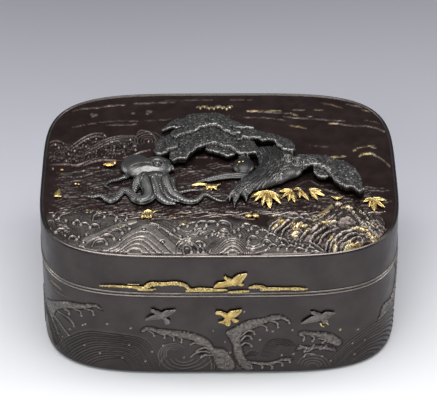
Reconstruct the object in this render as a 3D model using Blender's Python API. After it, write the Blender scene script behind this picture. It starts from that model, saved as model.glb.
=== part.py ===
"""A low metal box with bowed sides and a lift-off lid, carved in relief and set with figures of other metals.

Lengths are in metres. The box stands on its underside at the origin, its front towards -Y.
The picture on the lid and the frieze on the walls are drawn in millimetres on sheets of a fixed size, which
are stretched over the box, so that a box of another width, depth or height keeps its picture in place.
"""

import math

import bmesh
import bpy
import numpy as np
from mathutils import Vector

MM = 0.001

# The body
BODY_WIDTH = 120.0 * MM
BODY_DEPTH = 96.0 * MM
BASE_HEIGHT = 33.2 * MM
LID_HEIGHT = 15.4 * MM
CORNER_POWER = 4.22
OUTLINE_POINTS = 48

# Walls and the fit between lid and base
LID_WALL = 1.4 * MM
LID_PLATE = 1.8 * MM
LIP_THICKNESS = 0.9 * MM
LIP_HEIGHT = 4.0 * MM
LIP_CLEARANCE = 0.3 * MM
FLOOR_THICKNESS = 1.8 * MM
SEAM_GAP = 0.3 * MM

# Edges
BEAD_HEIGHT = 0.8 * MM
BEAD_PROUD = 0.3 * MM
FOOT_RADIUS = 1.2 * MM
LID_EDGE_RADIUS = 1.2 * MM
RIM_WIDTH = 0.7 * MM
FIELD_DEPTH = 0.4 * MM
EDGE_STEPS = 2

# How far each kind of relief stands out of its ground, and how far it is rooted in it
ROOT_DEPTH = 0.5 * MM
LINE_RISE = 0.7 * MM
CLAW_RISE = 0.9 * MM
ROCK_RISE = 2.6 * MM
WALL_LINE_RISE = 0.5 * MM
WALL_CLAW_RISE = 0.7 * MM
INLAY_GAP = 0.3 * MM
OCTOPUS_RISE = 4.0 * MM
ARM_RISE = 1.9 * MM
TRUNK_RISE = 3.2 * MM
FOLIAGE_RISE = 3.4 * MM
LEAF_RISE = 1.4 * MM
SHORE_RISE = 0.8 * MM
BIRD_RISE = 1.1 * MM
TRINKET_RISE = 1.2 * MM

# The sheets that the picture and the frieze are drawn on, in millimetres of drawing
SHEET_WIDTH = 120.0
SHEET_DEPTH = 96.0
SHEET_GIRTH = 382.0
SHEET_BASE = 33.3
SHEET_LID = 15.5
SHEET_MARGIN = 3.4
INLAY_MARGIN = 6.0

# Cross-sections of a bar of relief: how far to each side, and what share of its rise
KEEL = ((-1.0, 0.0), (0.0, 1.0), (1.0, 0.0))
ROUND = ((-1.0, 0.0), (-0.72, 0.72), (0.0, 1.0), (0.72, 0.72), (1.0, 0.0))

# Heights and insets that follow from the sizes above
LID_BOTTOM = BASE_HEIGHT + SEAM_GAP
LID_TOP = LID_BOTTOM + LID_HEIGHT
FIELD_LEVEL = LID_TOP - FIELD_DEPTH
CEILING = FIELD_LEVEL - LID_PLATE
LIP_OUTSIDE = LID_WALL + LIP_CLEARANCE
LIP_INSIDE = LIP_OUTSIDE + LIP_THICKNESS
FIELD_INSET = LID_EDGE_RADIUS + RIM_WIDTH


# The outline, a superellipse


def superellipse(angle):
    """The point of the outline at an angle, and the direction that faces out of the box there."""
    half_width, half_depth = BODY_WIDTH / 2, BODY_DEPTH / 2
    across, along = math.cos(angle), math.sin(angle)
    share_x = math.copysign(abs(across) ** (2 / CORNER_POWER), across)
    share_y = math.copysign(abs(along) ** (2 / CORNER_POWER), along)
    slope_x = math.copysign(abs(share_x) ** (CORNER_POWER - 1), share_x) / half_width
    slope_y = math.copysign(abs(share_y) ** (CORNER_POWER - 1), share_y) / half_depth
    return Vector((half_width * share_x, half_depth * share_y)), Vector((slope_x, slope_y)).normalized()


def measured_outline(steps=2880):
    """Angles round the outline from the front's middle, with the girth and the turn reached at each."""
    angles = np.linspace(-math.pi / 2, 3 * math.pi / 2, steps + 1)
    stations = [superellipse(angle) for angle in angles]
    points = np.array([station[0] for station in stations])
    facing = np.array([station[1] for station in stations])
    girth = np.concatenate([[0.0], np.cumsum(np.linalg.norm(np.diff(points, axis=0), axis=1))])
    headings = np.unwrap(np.arctan2(facing[:, 1], facing[:, 0]))
    return angles, girth, headings - headings[0]


ANGLES, GIRTH, TURN = measured_outline()


def outline_stations(count):
    """Stations round the outline, closer together where it turns."""
    weight = GIRTH / GIRTH[-1] + TURN / TURN[-1]
    wanted = np.arange(count) * weight[-1] / count
    return [superellipse(angle) for angle in np.interp(wanted, weight, ANGLES)]


STATIONS = outline_stations(OUTLINE_POINTS)


# Places on the box for the points of the two sheets


def on_lid(across, along, rise):
    """A point of the lid's picture, drawn from the middle of the lid."""
    return Vector((across / SHEET_WIDTH * BODY_WIDTH, along / SHEET_DEPTH * BODY_DEPTH, FIELD_LEVEL + rise))


def on_wall(around, up, rise):
    """A point of the frieze, drawn round from the front's middle and up from the underside."""
    girth = (around / SHEET_GIRTH % 1.0) * GIRTH[-1]
    point, facing = superellipse(float(np.interp(girth, GIRTH, ANGLES)))
    if up <= SHEET_BASE:
        height = up / SHEET_BASE * BASE_HEIGHT
    else:
        height = LID_BOTTOM + (up - SHEET_BASE) / SHEET_LID * LID_HEIGHT
    return Vector((*(point + facing * rise), height))


def way_out(points):
    """How far out each point of the lid's picture lies, where 1 is just clear of the rim."""
    reach_x = SHEET_WIDTH / 2 - SHEET_MARGIN
    reach_y = SHEET_DEPTH / 2 - SHEET_MARGIN
    powers = [abs(x / reach_x) ** CORNER_POWER + abs(y / reach_y) ** CORNER_POWER for x, y in points]
    return [power ** (1 / CORNER_POWER) for power in powers]


def drawn_in(points, share=1.0):
    """Points of the lid's picture, moved towards its middle until this share of them is clear of the rim."""
    out = sorted(way_out(points))
    pull = max(1.0, out[round(share * (len(out) - 1))])
    return [(x / pull, y / pull) for x, y in points]


def cut_at_rim(path):
    """A path on the lid's picture, drawn in until half of it is clear of the rim, and ended just at the rim."""
    path = drawn_in(path, 0.5)
    out = way_out(path)
    cut = []
    for index, (x, y) in enumerate(path):
        if out[index] <= 1:
            cut.append((x, y))
        elif min(out[max(index - 1, 0) : index + 2]) < 1:
            cut.append((x / out[index], y / out[index]))
    return cut


# Curves on a sheet


def blend(values, share):
    """A value from a list, read at a share of its length."""
    return float(np.interp(share, np.linspace(0, 1, len(values)), values))


def smooth(points, steps=3):
    """A Catmull-Rom curve through the points, with this many steps from each to the next."""
    ends = [points[0], *points, points[-1]]
    curve = []
    for before, start, end, after in zip(ends, ends[1:], ends[2:], ends[3:]):
        for step in range(steps):
            t = step / steps
            curve.append(
                tuple(
                    0.5 * (2 * b + (c - a) * t + (2 * a - 5 * b + 4 * c - d) * t**2 + (3 * b - a - 3 * c + d) * t**3)
                    for a, b, c, d in zip(before, start, end, after)
                )
            )
    return [*curve, points[-1]]


def arch(centre, radius, start=0.0, end=180.0, steps=6):
    """Part of a circle, between two angles in degrees."""
    angles = [math.radians(start + (end - start) * step / steps) for step in range(steps + 1)]
    return [(centre[0] + radius * math.cos(angle), centre[1] + radius * math.sin(angle)) for angle in angles]


def swell(middle, foot, crest, half_width, steps=6):
    """A bell-shaped wave, hollow at its flanks, from foot to crest to foot."""
    shares = [2 * step / steps - 1 for step in range(steps + 1)]
    return [
        (middle + half_width * share, foot + (crest - foot) * (1 + math.cos(math.pi * share)) / 2)
        for share in shares
    ]


def along_path(path, count):
    """Evenly spread places on a path, each with the direction of the path there."""
    points = np.array(path)
    reached = np.concatenate([[0.0], np.cumsum(np.linalg.norm(np.diff(points, axis=0), axis=1))])
    places = []
    for share in (np.arange(count) + 0.5) / count:
        index = min(int(np.searchsorted(reached, share * reached[-1])), len(points) - 1)
        part = (share * reached[-1] - reached[index - 1]) / (reached[index] - reached[index - 1])
        place = points[index - 1] + part * (points[index] - points[index - 1])
        step = points[index] - points[index - 1]
        places.append((place, math.degrees(math.atan2(step[1], step[0]))))
    return places


# Shapes of relief, each a closed body rooted below its ground


def bar(shape, path, width, rise, place, section=KEEL, root=ROOT_DEPTH):
    """A bar along a path, its width and rise read from lists of shares, its foot at a depth below the ground."""
    rings = []
    for index, (across, along) in enumerate(path):
        before, after = path[max(index - 1, 0)], path[min(index + 1, len(path) - 1)]
        step = Vector((after[0] - before[0], after[1] - before[1])).normalized()
        share = index / (len(path) - 1)
        half, top = blend(width, share) / 2, blend(rise, share)
        ring = []
        for side, height in section:
            level = top * height if height else -root
            ring.append(shape.verts.new(place(across - step.y * side * half, along + step.x * side * half, level)))
        rings.append(ring)
    for ring, following in zip(rings, rings[1:]):
        for index in range(len(section)):
            following_index = (index + 1) % len(section)
            shape.faces.new((ring[index], ring[following_index], following[following_index], following[index]))
    shape.faces.new(rings[0])
    shape.faces.new(rings[-1])


def ball(shape, centre, radii, rise, place, segments=12, rings=6, lumps=0.0):
    """A flattened ball with its middle on the ground, its outline swelling in and out by lumps."""
    made = bmesh.ops.create_uvsphere(shape, u_segments=segments, v_segments=rings, radius=1.0)
    for vertex in made["verts"]:
        around = math.atan2(vertex.co.y, vertex.co.x)
        swelling = 1 + lumps * math.sin(3 * around + centre[0]) + lumps * math.sin(5 * around + centre[1]) / 2
        across = centre[0] + radii[0] * vertex.co.x * swelling
        along = centre[1] + radii[1] * vertex.co.y * swelling
        vertex.co = place(across, along, rise * vertex.co.z)


def claw(shape, place, root, heading, size, bend, rise):
    """A hook of foam that leaves its crest at a heading and curls round by a bend, with a bead at its tip."""
    steps = 3
    path = [tuple(root)]
    for step in range(steps):
        angle = math.radians(heading + bend * (step + 0.5) / steps)
        length = size * (1.0 - 0.2 * step) / 1.6
        path.append((path[-1][0] + length * math.cos(angle), path[-1][1] + length * math.sin(angle)))
    bar(shape, path, (0.5 * size, 0.36 * size, 0.3 * size, 0.36 * size), (0.8 * rise, 1.1 * rise, 0.9 * rise), place)


def claw_row(shape, place, path, count, size, lean, bend, rise):
    """A crest drawn along a path, with claws springing from it."""
    bar(shape, path, (0.5 * size, 0.9 * size, 0.5 * size), (rise,), place)
    for root, direction in along_path(path, count):
        claw(shape, place, root, direction + lean, size, bend, rise)


def foliage(shape, path, count, spread, rise):
    """Pads of needles along a branch, standing to one side and the other of it in turn."""
    for index, (middle, direction) in enumerate(along_path(path, count)):
        size = blend(spread, index / (count - 1)) * (0.56 + 0.05 * math.sin(2.4 * index))
        side = (-1) ** index * 0.25 * size
        turned = math.radians(direction + 90)
        centre = (middle[0] + side * math.cos(turned), middle[1] + side * math.sin(turned))
        ball(shape, centre, (size, 0.82 * size), rise * (0.88 + 0.1 * math.cos(1.9 * index)), on_lid, 8, 4, 0.12)


# Objects, materials and Booleans


def finish(name, colour, roughness):
    material = bpy.data.materials.new(name)
    material.use_nodes = True
    shader = material.node_tree.nodes["Principled BSDF"]
    shader.inputs["Base Color"].default_value = (*colour, 1.0)
    shader.inputs["Metallic"].default_value = 1.0
    shader.inputs["Roughness"].default_value = roughness
    return material


def make_object(name, shape, collection, material):
    bmesh.ops.recalc_face_normals(shape, faces=shape.faces)
    mesh = bpy.data.meshes.new(name)
    shape.to_mesh(mesh)
    shape.free()
    mesh.materials.append(material)
    mesh.shade_smooth()
    mesh.set_sharp_from_angle(angle=math.radians(35))
    made = bpy.data.objects.new(name, mesh)
    collection.objects.link(made)
    return made


def make_helper(name, shape, material):
    helper = make_object(name, shape, helpers, material)
    helper.hide_render = True
    helper.display_type = "WIRE"
    return helper


def combine(piece, helper, operation):
    modifier = piece.modifiers.new(operation.title(), "BOOLEAN")
    modifier.operation = operation
    modifier.object = helper
    modifier.solver = "EXACT"
    modifier.use_self = True


def loft(profile):
    """A body whose outline is followed at each inset and height of a profile, closed flat at both ends."""
    shape = bmesh.new()
    rings = []
    for inset, height in profile:
        rings.append([shape.verts.new((*(point - facing * inset), height)) for point, facing in STATIONS])
    for ring, following in zip(rings, rings[1:]):
        for index in range(OUTLINE_POINTS):
            after = (index + 1) % OUTLINE_POINTS
            shape.faces.new((ring[index], ring[after], following[after], following[index]))
    shape.faces.new(rings[0])
    shape.faces.new(rings[-1])
    return shape


def bead(edge, wall):
    """The moulding between the seam at one height and the plain wall at another, as part of a profile."""
    return [(0.0, edge), (-BEAD_PROUD, (edge + wall) / 2), (0.0, wall)]


def rounded_edge(radius, wall, face):
    """A quarter round from the wall at one height to the face at another, as part of a profile."""
    turns = [math.pi / 2 * step / EDGE_STEPS for step in range(EDGE_STEPS + 1)]
    return [(radius * (1 - math.cos(turn)), wall + (face - wall) * math.sin(turn)) for turn in turns]


def slab(place, low, high, bottom, top, steps=1):
    """The space over a stretch of the ground, from one rise to another."""
    shape = bmesh.new()
    rings = []
    for step in range(steps + 1):
        across = low[0] + (high[0] - low[0]) * step / steps
        corners = ((low[1], bottom), (high[1], bottom), (high[1], top), (low[1], top))
        rings.append([shape.verts.new(place(across, along, rise)) for along, rise in corners])
    for ring, following in zip(rings, rings[1:]):
        for index in range(4):
            after = (index + 1) % 4
            shape.faces.new((ring[index], ring[after], following[after], following[index]))
    shape.faces.new(rings[0])
    shape.faces.new(rings[-1])
    return shape


def inlay(name, shape, place, material, steps=1):
    """A piece of its own, made of shapes joined and cut off flat just over the ground that it is set on."""
    lowest, highest = reach_on_sheet(shape, place)
    low, high = lowest - INLAY_MARGIN, highest + INLAY_MARGIN
    piece = make_object(name, slab(place, low, high, INLAY_GAP, 4 * OCTOPUS_RISE, steps), parts, material)
    combine(piece, make_helper(name + "_shapes", shape, material), "INTERSECT")


def reach_on_sheet(shape, place):
    """The lowest and highest corners of a shape, back in the millimetres of its sheet."""
    places = np.array([vertex.co for vertex in shape.verts])
    if place is on_lid:
        sheet = places[:, :2] / (BODY_WIDTH, BODY_DEPTH) * (SHEET_WIDTH, SHEET_DEPTH)
    else:
        sheet = places[:, [0, 2]] / (BODY_WIDTH, LID_TOP) * (SHEET_WIDTH, SHEET_BASE + SHEET_LID)
    return sheet.min(axis=0), sheet.max(axis=0)


# The picture on the lid: what is carved in the ground


def sea_on_lid(shape):
    for middle, foot, crests in (
        (-26.0, -47.0, ((-33.5, 17.0), (-37.4, 13.0), (-41.2, 9.0))),
        (5.0, -47.5, ((-38.8, 11.0), (-42.8, 7.0))),
        (-44.5, 7.0, ((23.0, 11.5), (18.6, 8.0))),
        (-31.5, 9.5, ((21.0, 9.0), (17.8, 6.5))),
    ):
        for crest, half_width in crests:
            path = cut_at_rim(swell(middle, foot, crest, half_width))
            bar(shape, path, (1.2, 2.2, 1.2), (LINE_RISE,), on_lid)
    for centre, radii in (
        ((-37.5, -29.0), (3.6,)),
        ((-44.5, -34.0), (4.2, 2.2)),
        ((-52.5, -27.5), (3.8,)),
        ((-8.0, -46.0), (4.2,)),
        ((-25.0, 15.5), (3.4,)),
    ):
        for radius in radii:
            bar(shape, cut_at_rim(arch(centre, radius, 10, 170, 4)), (0.9,), (LINE_RISE,), on_lid)


def foam_on_lid(shape):
    for crest, count, size, lean, bend in (
        (((-14.5, -34.5), (-10.0, -31.0), (-4.0, -30.2), (3.5, -31.4)), 4, 2.8, -60, -150),
        (((-5.0, -38.6), (-1.5, -35.8), (3.0, -34.6)), 3, 2.4, -60, -150),
        (((8.0, -31.0), (13.0, -34.6), (19.0, -38.0)), 3, 2.8, -40, -150),
        (((9.5, -40.4), (16.0, -42.2), (24.0, -43.2)), 3, 2.8, -50, -150),
        (((-28.5, -29.5), (-33.0, -33.8), (-37.0, -37.5), (-41.5, -40.5)), 3, 2.8, 60, 150),
    ):
        claw_row(shape, on_lid, crest, count, size, lean, bend, CLAW_RISE)


def rocks_on_lid(shape):
    for centre, radii, share in (
        ((20.5, -30.0), (5.0, 3.6), 0.55),
        ((28.0, -34.0), (8.0, 5.4), 0.8),
        ((41.5, -27.0), (7.0, 5.4), 1.0),
        ((49.5, -32.5), (4.2, 5.0), 0.75),
        ((40.5, -37.5), (9.0, 5.6), 0.85),
    ):
        ball(shape, centre, radii, share * ROCK_RISE, on_lid, 12, 6, 0.1)
    for radius in (3.0, 5.4, 7.8):
        bar(shape, cut_at_rim(arch((42.0, -42.5), radius)), (1.3,), (0.9 * ROCK_RISE,), on_lid)
    for radius in (3.0, 5.2):
        bar(shape, arch((27.5, -37.0), radius, 20, 150, 4), (1.3,), (0.95 * ROCK_RISE,), on_lid)


# The picture on the lid: the pieces set on it


def octopus():
    shape = bmesh.new()
    ball(shape, (-28.3, 0.8), (5.0, 5.8), OCTOPUS_RISE, on_lid, 14, 8)
    ball(shape, (-21.3, 1.6), (5.2, 4.4), 0.88 * OCTOPUS_RISE, on_lid, 12, 8)
    ball(shape, (-21.0, -0.4), (1.3, 1.2), 1.02 * OCTOPUS_RISE, on_lid, 6, 6)
    ball(shape, (-16.8, 0.4), (2.2, 1.3), 0.5 * OCTOPUS_RISE, on_lid, 8, 4)
    bar(shape, smooth(((-28.0, -3.0), (-24.0, -3.6), (-19.5, -3.2)), 2), (4.0,), (0.7 * OCTOPUS_RISE,), on_lid, ROUND)
    for route, width in (
        (((-25.0, -4.0), (-23.8, -11.0), (-26.3, -17.2), (-29.6, -15.6), (-31.6, -12.6)), (3.6, 3.2, 2.4)),
        (((-29.0, -7.0), (-32.4, -12.8), (-36.0, -18.2), (-39.4, -15.0), (-42.4, -14.4), (-46.5, -16.4)), (3.2, 0.8)),
        (((-21.5, -4.0), (-21.0, -11.0), (-18.4, -18.6), (-13.6, -20.2)), (3.8, 3.4, 1.6)),
        (
            ((-18.6, -3.6), (-15.4, -11.0), (-11.6, -18.4), (-8.0, -18.4), (-5.2, -15.8), (-2.0, -17.0), (1.6, -19.4)),
            (3.8, 3.0, 2.0, 0.8),
        ),
        (((-30.5, -4.0), (-35.0, -6.6), (-38.6, -8.6), (-38.2, -12.2)), (3.0, 1.0)),
        (((-14.6, -14.0), (-10.8, -12.6), (-7.6, -12.0), (-5.6, -13.6)), (2.2, 0.8)),
    ):
        bar(shape, smooth(route, 2), width, (1.15 * ARM_RISE, ARM_RISE, 0.6 * ARM_RISE), on_lid, ROUND)
    inlay("octopus", shape, on_lid, pale_grey)


def pine_tree():
    shape = bmesh.new()
    for route, width, share in (
        (((11.0, -15.0), (13.4, -9.0), (16.4, -3.0), (17.4, 4.0), (13.0, 9.5)), (9.0, 8.4, 7.0, 6.0), (0.7, 1.0)),
        (((16.5, -2.0), (23.0, -3.6), (30.0, -1.0)), (6.0, 5.0), (1.0, 0.9)),
        (((14.0, 6.0), (9.0, 14.0), (2.0, 20.5)), (6.0, 5.0, 4.5), (0.8,)),
        (((9.5, -12.0), (6.4, -17.0), (4.4, -22.4)), (4.4, 2.4, 0.5), (0.8, 0.3)),
        (((11.5, -13.0), (9.4, -17.5), (8.2, -21.4)), (3.6, 2.0, 0.5), (0.8, 0.3)),
        (((8.5, -10.0), (4.6, -13.0), (2.6, -16.0)), (3.6, 1.8, 0.5), (0.7, 0.3)),
        (((12.0, -4.6), (6.0, -4.4), (0.0, -5.4), (-4.2, -6.0)), (4.4, 3.0, 1.0), (0.8, 0.5, 0.3)),
        (((16.5, 2.5), (12.5, 3.0), (8.5, 2.0)), (4.4,), (0.8,)),
    ):
        bar(shape, smooth(route, 2), width, [part * TRUNK_RISE for part in share], on_lid, ROUND)
    ball(shape, (8.4, 2.0), (3.8, 3.8), TRUNK_RISE, on_lid, 10, 6)
    for route, count, spread in (
        (((-17.5, 18.5), (-10.0, 24.5), (-2.0, 28.5), (6.0, 25.5), (11.0, 20.5)), 5, (9.0, 10.4, 9.0)),
        (((-6.0, 19.0), (4.0, 19.5)), 2, (8.0,)),
        (((-19.0, 7.5), (-10.0, 11.5), (0.0, 15.0), (10.0, 15.0), (17.0, 14.0), (24.5, 9.0)), 6, (9.0, 9.6, 9.0)),
        (((25.0, -1.5), (33.0, 0.5), (40.0, -3.0), (44.5, -9.0), (46.6, -13.6)), 5, (7.0, 8.0, 6.0)),
    ):
        foliage(shape, smooth(route, 2), count, spread, FOLIAGE_RISE)
    inlay("pine_tree", shape, on_lid, dark_grey)


def bamboo_grass(name, root, tips):
    shape = bmesh.new()
    root, *tips = drawn_in((root, *tips))
    for tip in tips:
        middle = ((root[0] + tip[0]) / 2, (root[1] + tip[1]) / 2 + 0.35)
        bar(shape, (root, middle, tip), (1.2, 2.4, 0.5), (LEAF_RISE, LEAF_RISE, 0.5 * LEAF_RISE), on_lid, root=0.0)
    ball(shape, root, (1.0, 0.8), 1.1 * LEAF_RISE, on_lid, 6, 4)
    inlay(name, shape, on_lid, gold)


def trinket(name, body, limbs):
    """A small gold leaf or shore creature: a rounded body with limbs."""
    shape = bmesh.new()
    centre, radii = body
    ball(shape, centre, radii, TRINKET_RISE, on_lid, 8, 4)
    for start, end in limbs:
        bar(shape, [start, end], (1.4, 0.8), (0.8 * TRINKET_RISE,), on_lid, root=0.0)
    inlay(name, shape, on_lid, gold)


# The frieze on the walls


def swells_on_walls(shape):
    for middle, radii in (
        (-32.0, (17.0, 12.5, 8.0)),
        (56.5, (16.0, 11.0)),
        (104.0, (14.0, 9.0)),
        (-104.0, (14.0, 9.0)),
        (150.0, (13.0, 8.0)),
        (-150.0, (13.0, 8.0)),
    ):
        for radius in radii:
            bar(shape, arch((middle, 1.6), radius, 4, 176), (1.8,), (WALL_LINE_RISE,), on_wall)
    for centre, radius, start, end in (
        ((-15.5, 8.0), 5.2, 150, 350),
        ((17.5, 12.0), 5.2, 10, 170),
    ):
        bar(shape, arch(centre, radius, start, end, 5), (1.2,), (WALL_LINE_RISE,), on_wall)


def crests_on_walls(shape):
    for crest, count, size, lean, bend in (
        (((-62.5, 9.0), (-61.0, 17.0), (-54.0, 23.5), (-46.0, 26.8), (-40.8, 26.4)), 4, 3.4, -70, -100),
        (((-27.0, 18.6), (-18.0, 18.6), (-9.0, 16.4), (-3.4, 12.4), (-1.6, 8.0)), 4, 3.4, -110, 100),
        (((2.6, 7.5), (3.4, 15.0), (9.0, 20.2), (17.6, 24.0), (22.4, 22.2)), 4, 3.4, -70, -100),
        (((26.6, 18.0), (33.0, 16.6), (38.0, 13.4), (39.8, 9.6)), 3, 3.0, -110, 100),
        (((7.4, 5.0), (15.0, 3.8), (23.0, 6.0)), 3, 2.4, -80, 100),
        (((75.0, 12.0), (77.5, 19.0), (85.0, 23.8), (93.0, 22.0)), 3, 3.0, -70, -100),
        (((-75.0, 12.0), (-77.5, 19.0), (-85.0, 23.8), (-93.0, 22.0)), 3, 3.0, 70, 100),
        (((176.0, 10.0), (181.0, 18.0), (197.0, 20.0)), 3, 3.0, -70, -100),
    ):
        claw_row(shape, on_wall, smooth(crest, 2), count, size, lean, bend, WALL_CLAW_RISE)


def shoreline():
    shape = bmesh.new()
    route = smooth(
        (
            (-39.5, 36.4),
            (-32.0, 36.5),
            (-26.0, 36.6),
            (-21.0, 37.8),
            (-15.0, 38.2),
            (-9.5, 36.8),
            (-3.0, 36.1),
            (4.0, 35.6),
            (9.0, 35.8),
            (14.0, 36.6),
            (20.0, 36.0),
            (28.5, 35.7),
        ),
        1,
    )
    width = (0.8, 1.2, 2.0, 3.4, 2.8, 2.6, 1.9, 1.6, 2.2, 3.0, 1.8, 0.8)
    bar(shape, route, width, (SHORE_RISE,), on_wall, root=0.0)
    inlay("gold_shoreline", shape, on_wall, gold, 16)


def plover(name, middle, head, tail, wing_tips, material):
    """A bird in flight: a body from tail to head, and two wings bent back at the wrist."""
    shape = bmesh.new()
    body = smooth((tail, middle, head), 2)
    bar(shape, body, (1.2, 2.2, 3.0, 2.6, 1.4), (0.6 * BIRD_RISE, BIRD_RISE), on_wall, root=0.0)
    for tip in wing_tips:
        wrist = (middle[0] + 0.45 * (tip[0] - middle[0]), middle[1] + 0.45 * (tip[1] - middle[1]) + 0.8)
        bar(shape, (middle, wrist, tip), (3.0, 3.2, 0.6), (0.9 * BIRD_RISE, 0.6 * BIRD_RISE), on_wall, root=0.0)
    inlay(name, shape, on_wall, material, 4)


# The base and the lid


def base():
    profile = [
        (LIP_INSIDE, FLOOR_THICKNESS),
        (LIP_INSIDE, BASE_HEIGHT + LIP_HEIGHT),
        (LIP_OUTSIDE, BASE_HEIGHT + LIP_HEIGHT),
        (LIP_OUTSIDE, BASE_HEIGHT),
        *bead(BASE_HEIGHT, BASE_HEIGHT - BEAD_HEIGHT),
        *rounded_edge(FOOT_RADIUS, FOOT_RADIUS, 0.0),
    ]
    body = make_object("base", loft(profile), parts, dark_brown)
    shape = bmesh.new()
    swells_on_walls(shape)
    crests_on_walls(shape)
    combine(body, make_helper("base_relief", shape, dark_brown), "UNION")


def lid():
    profile = [
        (LID_WALL, CEILING),
        (LID_WALL, LID_BOTTOM),
        *bead(LID_BOTTOM, LID_BOTTOM + BEAD_HEIGHT),
        *rounded_edge(LID_EDGE_RADIUS, LID_TOP - LID_EDGE_RADIUS, LID_TOP),
        (FIELD_INSET, LID_TOP),
        (FIELD_INSET + FIELD_DEPTH, FIELD_LEVEL),
    ]
    body = make_object("lid", loft(profile), parts, dark_brown)
    shape = bmesh.new()
    sea_on_lid(shape)
    foam_on_lid(shape)
    rocks_on_lid(shape)
    combine(body, make_helper("lid_relief", shape, dark_brown), "UNION")


for leftover in list(bpy.data.objects):
    bpy.data.objects.remove(leftover, do_unlink=True)

parts = bpy.data.collections.new("decorative_box")
helpers = bpy.data.collections.new("decorative_box_helpers")
bpy.context.scene.collection.children.link(parts)
bpy.context.scene.collection.children.link(helpers)

dark_brown = finish("dark_brown", (0.05, 0.045, 0.045), 0.4)
pale_grey = finish("pale_grey", (0.2, 0.2, 0.2), 0.35)
dark_grey = finish("dark_grey", (0.1, 0.105, 0.105), 0.45)
gold = finish("gold", (0.75, 0.55, 0.2), 0.35)

base()
lid()
octopus()
pine_tree()
bamboo_grass("bamboo_grass_left", (17.4, -16.2), ((11.6, -19.6), (13.4, -21.4), (16.8, -22.2), (20.6, -18.6)))
bamboo_grass(
    "bamboo_grass_middle",
    (26.4, -12.0),
    ((19.8, -12.0), (22.6, -16.0), (25.2, -18.0), (29.2, -16.8), (32.4, -16.4), (34.6, -13.4)),
)
bamboo_grass("bamboo_grass_right", (50.9, -17.4), ((48.2, -19.6), (51.3, -23.0), (54.7, -21.4), (55.2, -17.8)))
trinket("gold_leaf", ((-36.9, 4.4), (1.9, 1.0)), (((-35.9, 4.6), (-34.7, 5.0)),))
trinket(
    "gold_crab_left",
    ((-23.4, -24.9), (1.8, 1.5)),
    (
        ((-24.2, -24.3), (-26.0, -23.0)),
        ((-22.6, -24.3), (-21.2, -22.8)),
        ((-24.2, -25.5), (-25.6, -27.0)),
        ((-22.6, -25.5), (-21.6, -27.0)),
    ),
)
trinket(
    "gold_crab_middle",
    ((-2.8, -9.0), (1.8, 1.3)),
    (
        ((-3.4, -8.7), (-7.6, -7.7)),
        ((-2.0, -8.8), (-0.2, -8.3)),
        ((-3.4, -9.6), (-4.8, -10.6)),
        ((-2.2, -9.6), (-1.2, -11.0)),
    ),
)
shoreline()
plover("plover_lid", (3.8, 39.4), (1.2, 41.6), (6.8, 38.0), ((-1.8, 37.4), (8.8, 42.4)), gold)
plover("plover_left", (-19.6, 25.2), (-22.3, 27.3), (-17.2, 22.4), ((-25.0, 23.4), (-14.8, 27.2)), dark_grey)
plover("plover_middle", (3.0, 24.8), (0.2, 26.4), (5.4, 22.8), ((0.4, 21.8), (7.4, 27.0)), gold)
plover("plover_right", (32.6, 23.2), (30.2, 25.6), (34.2, 20.8), ((27.0, 21.4), (38.2, 24.8)), dark_grey)
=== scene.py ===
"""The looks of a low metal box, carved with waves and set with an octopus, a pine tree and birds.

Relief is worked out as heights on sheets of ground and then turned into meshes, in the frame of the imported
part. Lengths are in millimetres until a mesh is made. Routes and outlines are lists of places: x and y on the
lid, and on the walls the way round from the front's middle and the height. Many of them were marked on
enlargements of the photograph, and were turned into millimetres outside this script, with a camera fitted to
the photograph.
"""

import math

import bpy
import numpy as np
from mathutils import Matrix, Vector


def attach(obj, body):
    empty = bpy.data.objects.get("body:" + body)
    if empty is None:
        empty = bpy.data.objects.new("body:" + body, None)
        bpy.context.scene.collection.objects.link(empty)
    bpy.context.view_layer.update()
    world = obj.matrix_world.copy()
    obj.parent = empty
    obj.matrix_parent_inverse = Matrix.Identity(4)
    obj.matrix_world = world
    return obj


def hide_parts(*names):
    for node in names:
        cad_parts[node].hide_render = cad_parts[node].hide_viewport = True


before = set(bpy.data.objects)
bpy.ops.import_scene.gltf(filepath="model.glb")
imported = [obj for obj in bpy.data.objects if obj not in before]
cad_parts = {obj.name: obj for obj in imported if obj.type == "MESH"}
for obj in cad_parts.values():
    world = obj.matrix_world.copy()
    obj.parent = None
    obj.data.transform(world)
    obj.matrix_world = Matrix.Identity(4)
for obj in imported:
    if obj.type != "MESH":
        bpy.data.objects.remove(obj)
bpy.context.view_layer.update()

MM = 0.001

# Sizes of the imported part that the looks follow
HALF_WIDTH, HALF_DEPTH, CORNER_POWER = 60.0, 48.0, 4.22
BASE_HEIGHT, LID_BOTTOM, LID_TOP, FIELD_LEVEL = 33.2, 33.5, 48.9, 48.5
CEILING, FLOOR_TOP, LIP_TOP = 46.7, 1.8, 37.2
LID_WALL, LIP_OUTSIDE, LIP_INSIDE = 1.4, 1.7, 2.6
FIELD_INSET, FIELD_EDGE = 1.05, 1.3
INLAY_GAP = 0.3

# Heights on the walls count without the gap of the seam, and from here on they are on the lid
SEAM = 33.3

# Edges of the lid and the base: points round them, and an inset from which the floor or ceiling is closed
LID_ROUND, BASE_ROUND, MIDDLE = 280, 300, 20.0

# How far a shape's window reaches past it, so that its tints can fade out
MARGIN = 0.9

# Where a shelf of needles starts at its back, and how deep its edge is
SHELF_FOOT, SHELF_DROP = 2.3, 0.9

# The bead and the groove along each side of the seam, and half of the groove's width
SEAM_BEAD, SEAM_GROOVE, SEAM_GROOVE_HALF = 0.8, 0.9, 0.12

# The highest that a piece of its own may stand on the lid and on a wall
TOP_ON_LID, TOP_ON_WALL = 4.05, 1.05

# How much wider than their routes say the octopus's arms and the bamboo's leaves are built
ARM_GROWTH, LEAF_GROWTH = 1.14, 1.08


# The camera, at the photograph's angle and distance, with its lens and shift in pixels of the photograph

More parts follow.
